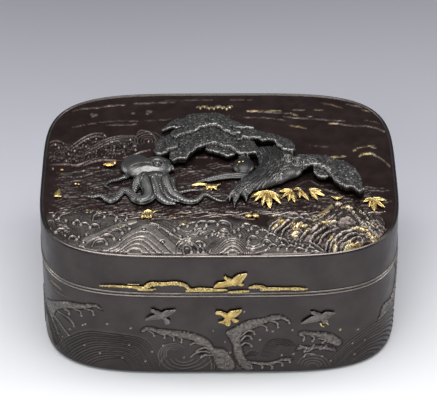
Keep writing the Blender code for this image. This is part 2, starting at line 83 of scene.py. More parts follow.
CAMERA_TILT, CAMERA_TURN, CAMERA_DISTANCE, CAMERA_AIM = 0.6405, 0.006, 880.1, 24.39
PHOTO_WIDTH, LENS, SHIFT_X, SHIFT_Y, SENSOR_WIDTH = 437, 2557.0, -0.5, 29.2, 36.0
camera_data = bpy.data.cameras.new("camera")
camera_data.sensor_width = SENSOR_WIDTH
camera_data.lens = LENS / PHOTO_WIDTH * SENSOR_WIDTH
camera_data.shift_x, camera_data.shift_y = SHIFT_X / PHOTO_WIDTH, SHIFT_Y / PHOTO_WIDTH
camera_data.clip_start, camera_data.clip_end = 0.01, 50
camera = bpy.data.objects.new("camera", camera_data)
bpy.context.scene.collection.objects.link(camera)
level = -math.cos(CAMERA_TILT)
away = Vector((level * math.sin(CAMERA_TURN), level * math.cos(CAMERA_TURN), math.sin(CAMERA_TILT)))
camera.location = Vector((0, 0, CAMERA_AIM * MM)) + away * CAMERA_DISTANCE * MM
camera.rotation_mode = "QUATERNION"
camera.rotation_quaternion = (-away).to_track_quat("-Z", "Y")
bpy.context.scene.camera = camera


# The outline, a superellipse, measured round from the front's middle


def outline_point(angle):
    """Places on the outline at these angles, and the directions that face out of the box there."""
    across, along = np.cos(angle), np.sin(angle)
    share_x = np.sign(across) * np.abs(across) ** (2 / CORNER_POWER)
    share_y = np.sign(along) * np.abs(along) ** (2 / CORNER_POWER)
    facing = np.stack(
        [
            np.sign(share_x) * np.abs(share_x) ** (CORNER_POWER - 1) / HALF_WIDTH,
            np.sign(share_y) * np.abs(share_y) ** (CORNER_POWER - 1) / HALF_DEPTH,
        ],
        axis=-1,
    )
    facing /= np.linalg.norm(facing, axis=-1, keepdims=True)
    return np.stack([HALF_WIDTH * share_x, HALF_DEPTH * share_y], axis=-1), facing


ANGLES = np.linspace(-math.pi / 2, 3 * math.pi / 2, 5761)


def lengths(path):
    """How far along a path each of its places lies."""
    return np.concatenate([[0.0], np.cumsum(np.linalg.norm(np.diff(path, axis=0), axis=1))])


GIRTH = lengths(outline_point(ANGLES)[0])
ROUND_ALL = GIRTH[-1]


def on_lid(x, y, rise):
    """Places at these heights over the lid's field."""
    return np.stack([x, y, FIELD_LEVEL + rise], axis=-1)


def on_wall(around, up, rise):
    """Places that stand out this far from the walls."""
    point, facing = outline_point(np.interp(np.mod(around, ROUND_ALL), GIRTH, ANGLES))
    up = np.where(up > SEAM, LID_BOTTOM + (up - SEAM), up)
    return np.concatenate([point + facing * rise[..., None], up[..., None]], axis=-1)


# Curves


def spline(points, step=0.5):
    """A smooth curve through the points, with a place about every step."""
    p = np.array(points, float)
    ends = np.vstack([2 * p[0] - p[1], p, 2 * p[-1] - p[-2]])
    curve = []
    for a, b, c, d in zip(ends, ends[1:], ends[2:], ends[3:]):
        count = max(1, math.ceil(np.linalg.norm(c - b) / step))
        t = (np.arange(count) / count)[:, None]
        curve.append(
            0.5 * (2 * b + (c - a) * t + (2 * a - 5 * b + 4 * c - d) * t**2 + (3 * b - a - 3 * c + d) * t**3)
        )
    curve.append(p[-1:])
    return np.vstack(curve)


def arc(centre, radius, start, end, flat=1.0):
    """Part of a circle between two angles in degrees, flattened in height by a share."""
    count = max(4, math.ceil(abs(end - start) / 14))
    turn = np.radians(np.linspace(start, end, count))
    return np.stack([centre[0] + radius * np.cos(turn), centre[1] + flat * radius * np.sin(turn)], axis=-1)


def drawn_in(route, centre, share):
    """A route's curve, drawn in towards a centre."""
    return np.array(centre) + share * (spline(route) - centre)


def offset_between(first, second, share):
    """A curve that runs between two others of any length."""
    ways = np.linspace(0, 1, 24)
    made = []
    for curve in (first, second):
        curve = spline(curve)
        reach = lengths(curve)
        made.append(np.stack([np.interp(ways * reach[-1], reach, curve[:, k]) for k in (0, 1)], axis=-1))
    return made[0] + share * (made[1] - made[0])


# Cross-sections of a stroke, from one side at -1 to the other at 1, and other small tools


def round_section(u):
    return np.sqrt(np.clip(1 - u * u, 0, 1))


def flat_section(u):
    return np.sqrt(np.clip(1 - u**4, 0, 1))


def soft_section(u):
    return np.cos(np.pi / 2 * np.clip(u, -1, 1)) ** 2


def ledge_section(u):
    """Steep on the left of the path and sloping gently on its right."""
    return np.clip(np.where(u > 0.55, (1 - u) / 0.45, (1 + u) / 1.55), 0, 1)


def ramp(values, low, high):
    """A smooth step from 0 at the low value to 1 at the high one."""
    share = np.clip((values - low) / (high - low), 0, 1)
    return share * share * (3 - 2 * share)


def soften(values, passes):
    """Evens out a grid with its neighbours."""
    for _ in range(passes):
        values = (np.roll(values, 1, 0) + 2 * values + np.roll(values, -1, 0)) / 4
        values = (np.roll(values, 1, 1) + 2 * values + np.roll(values, -1, 1)) / 4
    return values


def gap_to(line, x, y):
    """How far places lie from a line of points."""
    least = np.full(x.shape, 1e9)
    for (ax, ay), (bx, by) in zip(line, line[1:]):
        dx, dy = bx - ax, by - ay
        t = np.clip(((x - ax) * dx + (y - ay) * dy) / max(dx * dx + dy * dy, 1e-12), 0, 1)
        least = np.minimum(least, (x - ax - t * dx) ** 2 + (y - ay - t * dy) ** 2)
    return np.sqrt(least)


def within(ring, x, y):
    """Which places lie inside a closed line of points."""
    inside = np.zeros(x.shape, bool)
    for (ax, ay), (bx, by) in zip(ring, np.roll(ring, -1, axis=0)):
        if ay != by:
            inside ^= ((ay > y) != (by > y)) & (x < ax + (y - ay) * (bx - ax) / (by - ay))
    return inside


def wander(path, rng, amount, every=3):
    """The path, pushed to and fro at random."""
    knots = len(path) // every + 3
    places = np.arange(len(path)) / every
    push = [np.interp(places, np.arange(knots), rng.uniform(-amount, amount, knots)) for _ in (0, 1)]
    return path + np.stack(push, axis=-1)


def corners(grid):
    """The four corners of each cell of a grid."""
    return grid[:-1, :-1], grid[:-1, 1:], grid[1:, 1:], grid[1:, :-1]


def numbered(cells):
    """The points that belong to these cells of a grid, and the points' numbers."""
    used = np.zeros(np.add(cells.shape, 1), bool)
    for corner in corners(used):
        corner |= cells
    numbers = np.full(used.shape, -1)
    numbers[used] = np.arange(used.sum())
    return used, numbers


class Sheet:
    """A stretch of ground with the relief on it: how high each place stands, how far it lies inside the
    shapes, and how much of each tint it has."""

    def __init__(self, xs, ys, tints):
        self.xs, self.ys = np.array(xs, float), np.array(ys, float)
        self.x, self.y = np.meshgrid(self.xs, self.ys)
        shape = self.x.shape
        self.layers = {"line": np.zeros(shape), "form": np.zeros(shape), "cut": np.zeros(shape)}
        self.cover = np.full(shape, -9.0)
        self.brim = np.zeros(shape)
        self.tints = {name: np.zeros(shape) for name in tints}

    def window(self, low_x, high_x, low_y, high_y):
        columns = slice(*np.searchsorted(self.xs, (low_x, high_x)))
        rows = slice(*np.searchsorted(self.ys, (low_y, high_y)))
        return rows, columns

    def put(self, where, inside, value, depth, layer, edge, tints):
        """Adds a shape. A tint below zero takes that much of it away."""
        if layer:
            view = self.layers[layer][where]
            np.maximum(view, np.where(inside, value, 0.0), out=view)
        if layer == "form":
            view = self.cover[where]
            np.maximum(view, depth, out=view)
            view = self.brim[where]
            np.maximum(view, np.where(depth > -0.8, edge, 0.0), out=view)
        share = ramp(depth, -0.1, 0.3)
        for name, amount in tints.items():
            view = self.tints[name][where]
            if amount < 0:
                view *= 1 + amount * share
            else:
                np.maximum(view, amount * share, out=view)

    def stroke(self, path, width, rise, section=round_section, layer="line", edge=0.0, drop=None, **tints):
        """Raises the ground along a path, to the highest of what is there and the stroke. Width and rise are
        one number, or several that are spread evenly along the path."""
        path, width, rise = np.asarray(path, float), np.atleast_1d(width), np.atleast_1d(rise)
        steps = np.diff(path, axis=0)
        reach = lengths(path)
        reach /= max(reach[-1], 1e-9)
        halves = np.interp(reach, np.linspace(0, 1, len(width)), width) / 2
        rises = np.interp(reach, np.linspace(0, 1, len(rise)), rise)
        for i, (dx, dy) in enumerate(steps):
            x0, y0 = path[i]
            margin = max(halves[i], halves[i + 1]) + MARGIN
            low_x, high_x = min(x0, x0 + dx) - margin, max(x0, x0 + dx) + margin
            low_y, high_y = min(y0, y0 + dy) - margin, max(y0, y0 + dy) + margin
            where = self.window(low_x, high_x, low_y, high_y)
            x = self.xs[where[1]][None, :] - x0
            y = self.ys[where[0]][:, None] - y0
            if not x.size or not y.size:
                continue
            t = np.clip((x * dx + y * dy) / max(dx * dx + dy * dy, 1e-12), 0, 1)
            away = np.hypot(x - t * dx, y - t * dy)
            half = halves[i] + (halves[i + 1] - halves[i]) * t
            top = rises[i] + (rises[i + 1] - rises[i]) * t
            rim = edge if drop is None else np.maximum(edge, top - drop)
            u = np.where(dx * y - dy * x > 0, -1.0, 1.0) * away / np.maximum(half, 1e-6)
            inside = np.abs(u) < 1
            self.put(where, inside, rim + (top - rim) * section(u), half - away, layer, rim, tints)

    def groove(self, path, width, depth, **tints):
        """Cuts a soft groove along a path."""
        self.stroke(path, width, depth, soft_section, "cut", **tints)

    def ridge(self, path, width, rise, **tints):
        """Raises a soft ridge along a path."""
        self.stroke(path, width, rise, soft_section, **tints)

    def dome(self, centre, radii, rise, lumps=0.0, power=0.5, layer="line", edge=0.0, **tints):
        """Raises a rounded mound, its outline swelling in and out by lumps."""
        far = max(radii) * (1 + 1.6 * lumps) + MARGIN
        where = self.window(centre[0] - far, centre[0] + far, centre[1] - far, centre[1] + far)
        x = self.xs[where[1]][None, :] - centre[0]
        y = self.ys[where[0]][:, None] - centre[1]
        if not x.size or not y.size:
            return
        a, b = x / radii[0], y / radii[1]
        out = np.hypot(a, b)
        if lumps:
            around = np.arctan2(b, a)
            out = out / (
                1 + lumps * np.sin(3 * around + centre[0]) + 0.6 * lumps * np.sin(7 * around + centre[1])
            )
        inside = out < 1
        value = edge + (rise - edge) * np.clip(1 - out * out, 0, 1) ** power
        self.put(where, inside, value, (1 - out) * min(radii), layer, edge, tints)

    def fill(self, ring, rise, shoulder, edge=0.0, layer="form", **tints):
        """Raises a shape inside a closed line, rounded over at its shoulder."""
        ring = np.asarray(ring, float)
        low, high = ring.min(axis=0) - 1.0, ring.max(axis=0) + 1.0
        where = self.window(low[0], high[0], low[1], high[1])
        x, y = self.x[where], self.y[where]
        inside = within(ring, x, y)
        depth = np.where(inside, 1, -1) * gap_to(np.vstack([ring, ring[:1]]), x, y)
        share = 1 - np.clip(depth / shoulder, 0, 1)
        self.put(where, inside, edge + (rise - edge) * (1 - share**2) ** 0.5, depth, layer, edge, tints)

    def shelf(self, front, back, rise):
        """Raises foliage with painted shadow along its front line, sloping down to its back line."""
        ring = np.concatenate([front, back[::-1]])
        low, high = ring.min(axis=0) - 2.0, ring.max(axis=0) + 2.0
        where = self.window(low[0], high[0], low[1], high[1])
        x, y = self.x[where], self.y[where]
        inside = within(ring, x, y)
        ahead, behind = gap_to(front, x, y), gap_to(back, x, y)
        depth = np.where(inside, 1, -1) * np.minimum(ahead, behind)
        share = np.clip(1.2 * behind / (ahead + behind + 1e-6), 0, 1) ** 0.7
        top = SHELF_FOOT + (rise - SHELF_FOOT) * share - 0.4 * np.clip(1 - ahead / 0.7, 0, 1) ** 2
        own = ramp(depth, -0.15, 0.05)
        self.put(where, inside, top, depth, "form", np.maximum(top - SHELF_DROP, 0.6), {})
        shadow = (1 - own) * (1 - ramp(ahead, 0.5, 1.2))
        for name, amount in (("worn", 0 * own), ("shade", shadow), ("leafy", own)):
            view = self.tints[name][where]
            view[:] = np.maximum(view * (1 - own), amount)

    def smooth_union(self, passes):
        """Rounds off the creases between the shapes of the form."""
        form = self.layers["form"]
        filled = np.where(self.cover > 0, form, self.brim)
        self.layers["form"] = np.where(self.cover > 0, soften(filled, passes), form)


# Figures of relief that the waves are made of


def seen(sheet, points, rise=0.0):
    """Where on the relief something lies that shows at these places of the flat ground from the camera."""
    shown = np.array(points, float)
    found = shown.copy()
    for _ in range(5):
        rows = np.clip(np.searchsorted(sheet.ys, found[:, 1]), 0, len(sheet.ys) - 1)
        columns = np.clip(np.searchsorted(sheet.xs, found[:, 0]), 0, len(sheet.xs) - 1)
        found[:, 1] = shown[:, 1] - (sheet.layers["form"][rows, columns] + rise) / math.tan(CAMERA_TILT)
    return found


def claws(sheet, routes, width, rise, worn, bead, pale=0.0):
    """Claws of foam: raised lines that end in beads, each round a shallow cut, with a painted shadow as their
    dark outline and painted shade in the cuts.
    """
    paths = [spline(route, 0.4) for route in routes]
    for path in paths:
        sheet.groove(
            path, (1.4 * width, 1.8 * width, 1.7 * width), 0.18, shade=0.9, pale=-0.6 if pale else 0.0,
        )
        inner = path + 0.35 * ((path[0] + path[-1]) / 2 - path)
        if len(inner) > 4:
            sheet.fill(inner, 0.22, shoulder=0.3, layer="cut", shade=0.6)
    for path in paths:
        tints = {"shade": -1.0, "worn": worn, "pale": pale}
        sheet.stroke(path, (0.7 * width, width, width, 0.9 * width), (0.7 * rise, rise, rise), **tints)
        sheet.dome(path[-1], bead, 1.4 * rise, **tints)


def strands(rng, first, second, count, stray, broken):
    """Lines that lie between two curves, side by side and astray by a share, with their ends broken off."""
    for k in range(count):
        path = offset_between(first, second, (k + rng.uniform(0.5 - stray, 0.5 + stray)) / count)
        begin, end = rng.uniform(0, broken), 1 - rng.uniform(0, broken)
        start = int(begin * len(path))
        yield path[start : max(int(end * len(path)), start + 3)]


def engraved(sheet, rng, first, second, count, lit):
    """Fine grooves that run from one curve to another, with the ground between them rubbed."""
    for line in strands(rng, first, second, count, 0.2, 0.2):
        sheet.groove(line, (0.2, 0.55, 0.2), 0.2, shade=0.8 * rng.uniform(0.6, 1))
        sheet.ridge(line + (0, 0.55), (0.2, 0.6, 0.2), 0.12, worn=lit * rng.uniform(0.5, 1))


def combed(sheet, rng, first, second, count, rise):
    """Fine strokes that run from one curve to another, like the grain of stone."""
    for line in strands(rng, first, second, count, 0.3, 0.25):
        sheet.ridge(line, (0.2, 0.6, 0.2), (0.5 * rise, rise, 0.5 * rise), worn=0.3 * rng.uniform(0.6, 1.2))


def drops(sheet, places, size, rise, **tints):
    """Beads of spray at these places."""
    for x, y in places:
        sheet.dome((x, y), (size, 1.25 * size), rise, **tints)


def filler(sheet, rng, centre, radii, count, sizes, rise, worn):
    """Small arcs and beads of foam, strewn over an oval."""
    for _ in range(count):
        angle, far = rng.uniform(0, 2 * math.pi), math.sqrt(rng.uniform(0, 1))
        x, y = centre[0] + radii[0] * far * math.cos(angle), centre[1] + radii[1] * far * math.sin(angle)
        size, turn = rng.uniform(*sizes), rng.uniform(-40, 40)
        shade = worn * rng.uniform(0.5, 1.2)
        if rng.uniform() < 0.7:
            sheet.stroke(
                arc((x, y), size, 10 + turn, 170 + turn), (0.3, 0.5, 0.3), (0.6 * rise, rise, 0.7 * rise),
                worn=shade,
            )
        else:
            sheet.dome((x, y), (0.35, 0.4), 1.2 * rise, worn=min(1.0, 1.5 * shade))


# Meshes


def make_piece(name, points, faces, attributes, material, slot, nodes):
    """A smooth mesh piece that rides on the part, with its tints as attributes of its points."""
    mesh = bpy.data.meshes.new(name)
    mesh.from_pydata((np.asarray(points) * MM).tolist(), [], faces)
    mesh.update()
    for key, values in attributes.items():
        attribute = mesh.attributes.new(key, "FLOAT", "POINT")
        attribute.data.foreach_set("value", np.asarray(values, np.float32).ravel())
    mesh.materials.append(material)
    mesh.shade_smooth()
    piece = bpy.data.objects.new(name, mesh)
    bpy.context.scene.collection.objects.link(piece)
    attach(piece, "root")
    if nodes:
        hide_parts(*nodes)


def band_faces(rows, columns, start=0):
    """Four-sided faces between rings of points, numbered ring by ring."""
    index = start + np.arange(rows * columns).reshape(rows, columns)
    index = np.concatenate([index, index[:, :1]], axis=1)
    return np.stack(corners(index), axis=-1).reshape(-1, 4).tolist()


def loft_points(profile, count):
    """Rings of points round the outline, each at an inset and a height."""
    girths = np.arange(count) * ROUND_ALL / count
    weight = np.interp(girths, GIRTH, ANGLES)
    point, facing = outline_point(weight)
    rings = [
        np.concatenate([point - facing * inset, np.full((count, 1), height)], axis=1)
        for inset, height in profile
    ]
    return np.array(rings)


def quarter(inset, height, radius, start, end):
    """Part of a round edge, between two angles in degrees, as part of a profile."""
    turns = np.radians(np.linspace(start, end, 9))
    return [(inset - radius * math.cos(turn), height + radius * math.sin(turn)) for turn in turns]


def pillow(sheet, name, place, material, slot, nodes, floor=INLAY_GAP, tuck=1.0, lift=1.0):
    """A piece of its own: the sheet's form on top, and undercut all round down to a flat foot."""
    cover = sheet.cover
    inside = cover > 0
    top = sheet.layers["form"] + (sheet.layers["line"] - sheet.layers["cut"]) * inside
    cells = np.logical_or.reduce(corners(inside))
    used, numbers = numbered(cells)
    step_x, step_y = np.gradient(sheet.xs).mean(), np.gradient(sheet.ys).mean()
    slope_y, slope_x = np.gradient(cover, step_y, step_x)
    steep = slope_x**2 + slope_y**2 + 1e-3
    outside = used & ~inside
    shift = np.where(outside, -cover / steep, 0.0)
    x = sheet.x + np.clip(shift * slope_x, -step_x, step_x)
    y = sheet.y + np.clip(shift * slope_y, -step_y, step_y)
    brim = np.maximum(sheet.brim, floor + 0.05)
    z = np.minimum(
        np.where(inside, np.maximum(top, brim), brim), TOP_ON_LID if place is on_lid else TOP_ON_WALL,
    )
    low = brim - (brim - floor) * np.sqrt(np.clip(cover / tuck, 0, 1))
    under = numbers.copy()
    under[inside] = used.sum() + np.arange(inside.sum())
    points = np.concatenate([place(x[used], y[used], z[used]), place(x[inside], y[inside], low[inside])])
    upper, lower = (np.stack(corners(index), axis=-1)[cells] for index in (numbers, under))
    faces = upper.tolist() + lower[:, ::-1].tolist()
    bulge = z - soften(np.where(used, z, brim), 10)
    zeros = np.zeros_like(z)
    # Brightening from rubbing on the crests, and from the sheet's tint that holds both real wear and painted
    # highlights
    worn = np.clip(np.maximum(lift * ramp(bulge, 0.0, 0.35), sheet.tints.get("worn", zeros)), 0, 1)
    # Darkening from patina in recesses, and from the sheet's painted shade under lips, overhangs and in
    # creases
    hollow = np.maximum(ramp(-bulge, 0.0, 0.3), sheet.tints.get("shade", zeros))
    values = {"worn": (worn, 0.1), "hollow": (hollow, 1.0), "leafy": (sheet.tints.get("leafy", zeros), 1.0)}
    attributes = {}
    for key, (value, keep) in values.items():
        # The undersides are darkened further with painted shade
        below = keep * value[inside] + (0.6 if key == "hollow" else 0.0)
        attributes[key] = np.concatenate([value[used], np.clip(below, 0, 1)])
    make_piece(name, points, faces, attributes, material, slot, nodes)


# Materials


class Nodes:
    """Short ways to add shader nodes to a material."""

    def __init__(self, name):
        self.material = bpy.data.materials.new(name)
        self.material.use_nodes = True
        self.tree = self.material.node_tree
        self.shader = self.tree.nodes["Principled BSDF"]
        self.coordinates = self.tree.nodes.new("ShaderNodeTexCoord").outputs["Object"]

    def wire(self, value, socket):
        if isinstance(value, bpy.types.NodeSocket):
            self.tree.links.new(value, socket)
        else:
            socket.default_value = value

    def attribute(self, name):
        node = self.tree.nodes.new("ShaderNodeAttribute")
        node.attribute_name = name
        return node.outputs["Fac"]

    def noise(self, scale, detail, roughness=0.55, stretch=None):
        node = self.tree.nodes.new("ShaderNodeTexNoise")
        node.inputs["Scale"].default_value = scale
        node.inputs["Detail"].default_value = detail
        node.inputs["Roughness"].default_value = roughness
        source = self.coordinates
        if stretch:
            mapping = self.tree.nodes.new("ShaderNodeMapping")
            mapping.inputs["Scale"].default_value = stretch
            self.tree.links.new(source, mapping.inputs["Vector"])
            source = mapping.outputs["Vector"]
        self.tree.links.new(source, node.inputs["Vector"])
        return node.outputs["Fac"]

    def span(self, value, from_low, from_high, to_low=0.0, to_high=1.0):
        node = self.tree.nodes.new("ShaderNodeMapRange")
        node.interpolation_type = "SMOOTHSTEP"
        self.wire(value, node.inputs["Value"])
        sockets = ("From Min", "From Max", "To Min", "To Max")
        for socket, number in zip(sockets, (from_low, from_high, to_low, to_high)):
            node.inputs[socket].default_value = number
        return node.outputs["Result"]

    def math(self, operation, first, second):
        node = self.tree.nodes.new("ShaderNodeMath")
        node.operation = operation
        node.use_clamp = operation in ("MULTIPLY", "MAXIMUM")
        self.wire(first, node.inputs[0])
        self.wire(second, node.inputs[1])
        return node.outputs[0]

    def mix(self, share, first, second):
        node = self.tree.nodes.new("ShaderNodeMix")
        node.data_type = "RGBA"
        self.wire(share, node.inputs["Factor"])
        for value, socket in ((first, node.inputs[6]), (second, node.inputs[7])):
            self.wire((*value, 1.0) if isinstance(value, tuple) else value, socket)
        return node.outputs[2]

    def bump(self, height, strength, distance):
        node = self.tree.nodes.new("ShaderNodeBump")
        node.inputs["Strength"].default_value = strength
        node.inputs["Distance"].default_value = distance
        self.wire(height, node.inputs["Height"])
        return node.outputs["Normal"]

    def finish(self, colour, roughness, normal, metallic=1.0):
        self.wire(colour, self.shader.inputs["Base Color"])
        self.wire(roughness, self.shader.inputs["Roughness"])
        self.wire(normal, self.shader.inputs["Normal"])
        self.shader.inputs["Metallic"].default_value = metallic
        return self.material


def dark_metal():
    """Brown-black patina, redder on the water, rubbed to silvery brown on crests and painted highlights,
    darkened by recess patina and painted shade, and gilt in places.
    """
    n = Nodes("dark_metal")
    cloud = n.span(n.noise(90, 4), 0.3, 0.7)
    grain = n.noise(1400, 4, 0.65)
    patina = n.mix(cloud, (0.055, 0.048, 0.048), (0.072, 0.062, 0.061))
    water = n.mix(cloud, (0.050, 0.030, 0.027), (0.072, 0.046, 0.042))
    colour = n.mix(n.attribute("water"), patina, water)
    rubbed = n.mix(n.noise(400, 3), (0.38, 0.34, 0.31), (0.66, 0.60, 0.54))
    # Real rubbing and painted highlights both mix towards rubbed silvery brown
    worn = n.math("MULTIPLY", n.attribute("worn"), n.span(grain, 0.25, 0.6, 0.55, 1.0))
    colour = n.mix(worn, colour, rubbed)
    # Near black where patina fills recesses and where shade is painted under lips, overhangs and in creases
    colour = n.mix(n.math("MULTIPLY", n.attribute("hollow"), 0.8), colour, (0.012, 0.010, 0.010))
    gold = n.mix(n.span(n.noise(500, 3), 0.35, 0.65), (0.60, 0.40, 0.11), (0.92, 0.80, 0.46))
    gilt = n.math("MULTIPLY", n.attribute("gilt"), n.span(n.noise(1500, 3, 0.7), 0.38, 0.56, 0.15, 1.0))
    colour = n.mix(gilt, colour, gold)
    roughness = n.span(n.noise(250, 4), 0.25, 0.75, 0.34, 0.46)
    scratches = n.noise(260, 3, 0.6, (1.0, 9.0, 9.0))
    height = n.math("ADD", grain, n.math("MULTIPLY", scratches, 0.5))
    return n.finish(colour, roughness, n.bump(height, 0.35, 0.00008))


def figure_metal(name, dark, light, rubbed, gritty, roughness, leaf=None):
    """A grey patina that is paler where it is rubbed and where highlights are painted, and darker in its
    hollows and where shade is painted.
    """
    n = Nodes(name)
    cloud = n.span(n.noise(140, 4), 0.3, 0.7)
    grain = n.noise(1600, 4, 0.7)
    colour = n.mix(cloud, dark, light)
    if leaf:
        speckle = n.span(n.noise(900, 4, 0.7), 0.42, 0.62)
        colour = n.mix(n.attribute("leafy"), colour, n.mix(speckle, leaf[0], leaf[1]))
    worn = n.math("MULTIPLY", n.attribute("worn"), n.span(grain, 0.2, 0.65, 0.4, 1.0))
    colour = n.mix(worn, colour, rubbed)
    colour = n.mix(n.math("MULTIPLY", n.attribute("hollow"), 0.85), colour, (0.010, 0.010, 0.009))
    roughness = n.span(n.noise(300, 4), 0.25, 0.75, roughness - 0.05, roughness + 0.07)
    return n.finish(colour, roughness, n.bump(grain, gritty, 0.00012))


def gold_metal():
    """Gold, darker in its hollows and where shade is painted, and paler where it is rubbed and where
    highlights are painted.
    """
    n = Nodes("gold_metal")
    colour = n.mix(n.span(n.noise(500, 3), 0.3, 0.7), (0.46, 0.31, 0.10), (0.72, 0.55, 0.22))
    colour = n.mix(n.math("MULTIPLY", n.attribute("hollow"), 0.85), colour, (0.07, 0.04, 0.015))
    colour = n.mix(n.math("MULTIPLY", n.attribute("worn"), 0.7), colour, (0.82, 0.74, 0.45))
    grain = n.noise(1300, 4, 0.65)
    roughness = n.span(n.noise(350, 3), 0.3, 0.7, 0.28, 0.40)
    return n.finish(colour, roughness, n.bump(grain, 0.35, 0.0001))


DARK = dark_metal()
PALE_GREY = figure_metal(
    "pale_grey_metal", (0.125, 0.122, 0.121), (0.170, 0.165, 0.162), (0.42, 0.41, 0.39), 0.12, 0.36
)

NEEDLES = ((0.072, 0.069, 0.067), (0.150, 0.144, 0.138))
DARK_GREY = figure_metal(
    "dark_grey_metal", (0.080, 0.077, 0.075), (0.125, 0.120, 0.116), (0.52, 0.51, 0.49), 0.3, 0.40, NEEDLES
)
GOLD = gold_metal()
BIRD_GREY = figure_metal(
    "bird_grey_metal", (0.115, 0.106, 0.099), (0.190, 0.175, 0.164), (0.44, 0.41, 0.38), 0.3, 0.40
)


# The figures set on the lid and the walls

# Arms of the octopus: the route, and the widths and the rises along it
OCTOPUS_ARMS = (
    (
        (
            (-25, -5), (-24.2, -8.5), (-23.3, -12), (-23.5, -15.4), (-25.6, -17.4), (-27.7, -16.4),
            (-29.4, -13.3), (-31.1, -11.7), (-32.5, -12.2), (-33.7, -14.4), (-34.7, -16.4), (-36.2, -17.5),
            (-37.6, -16.4), (-38.9, -14.7), (-40.4, -14.2), (-42, -15), (-44.6, -14.6),
        ),
        (4.4, 4.6, 4.4, 3.8, 2.9, 2.4, 2.1, 1.9, 1.5, 0.5), (3.2, 2.8, 2.2, 1.8, 1.6, 1.4, 1.2, 0.8),
    ),
    (
        ((-19.9, -5), (-19.2, -9), (-18, -13.5), (-16.2, -16.4), (-13.6, -17.6)), (2.8, 2.8, 2.4, 1.9, 0.8),
        (2.5, 2.1, 1.6, 1.1),
    ),
    (
        ((-21.5, -5), (-21.3, -7.5), (-20.8, -10.8), (-20, -14.7), (-17.8, -17.9), (-14.9, -18.9)),
        (4.0, 4.0, 3.6, 3.2, 2.6, 1.0), (3.2, 2.8, 2.2, 1.7, 1.0),
    ),
    (
        (
            (-18.2, -5), (-17.6, -7.5), (-16.4, -10.6), (-15.1, -13.6), (-12.9, -16.2), (-11, -17.6),
            (-8.5, -17.9), (-6.8, -16), (-5.6, -14.2), (-3.9, -14.1), (-1.8, -16), (0.2, -17.3), (2.1, -17.5),
        ),
        (3.8, 4.0, 3.8, 3.2, 2.8, 2.3, 1.9, 1.4, 1.1, 0.5), (3.0, 2.6, 2.0, 1.7, 1.5, 1.3, 1.1, 0.8),
    ),
    (((-26.8, -5), (-27.8, -8), (-28.4, -11.6)), (3.4, 3.0, 1.6), (2.3, 1.7, 1.2)),
    (
        ((-15.8, -6), (-14.9, -10.6), (-14, -12.8), (-11.4, -11.9), (-8.9, -11.2), (-6.4, -11.6)),
        (2.2, 1.9, 1.6, 1.2, 0.5), (2.0, 1.4, 1.1, 0.8),
    ),
    (
        ((-31, -3.6), (-32.6, -4.2), (-34.2, -5.2), (-36.3, -5.9), (-37.9, -7.6), (-38.3, -8.8), (-37, -9.4)),
        (1.7, 1.6, 1.4, 0.9, 0.5), (1.0, 0.9, 0.8),
    ),
)


def beside(path, share, width):
    """A line that runs along a path at a share of its half width to one side."""
    normal = np.gradient(path, axis=0)
    normal = np.stack([-normal[:, 1], normal[:, 0]], axis=-1) / np.linalg.norm(normal, axis=1, keepdims=True)
    halves = np.interp(np.linspace(0, 1, len(path)), np.linspace(0, 1, len(width)), width)[:, None] / 2
    return path + share * halves * normal, halves[:, 0]


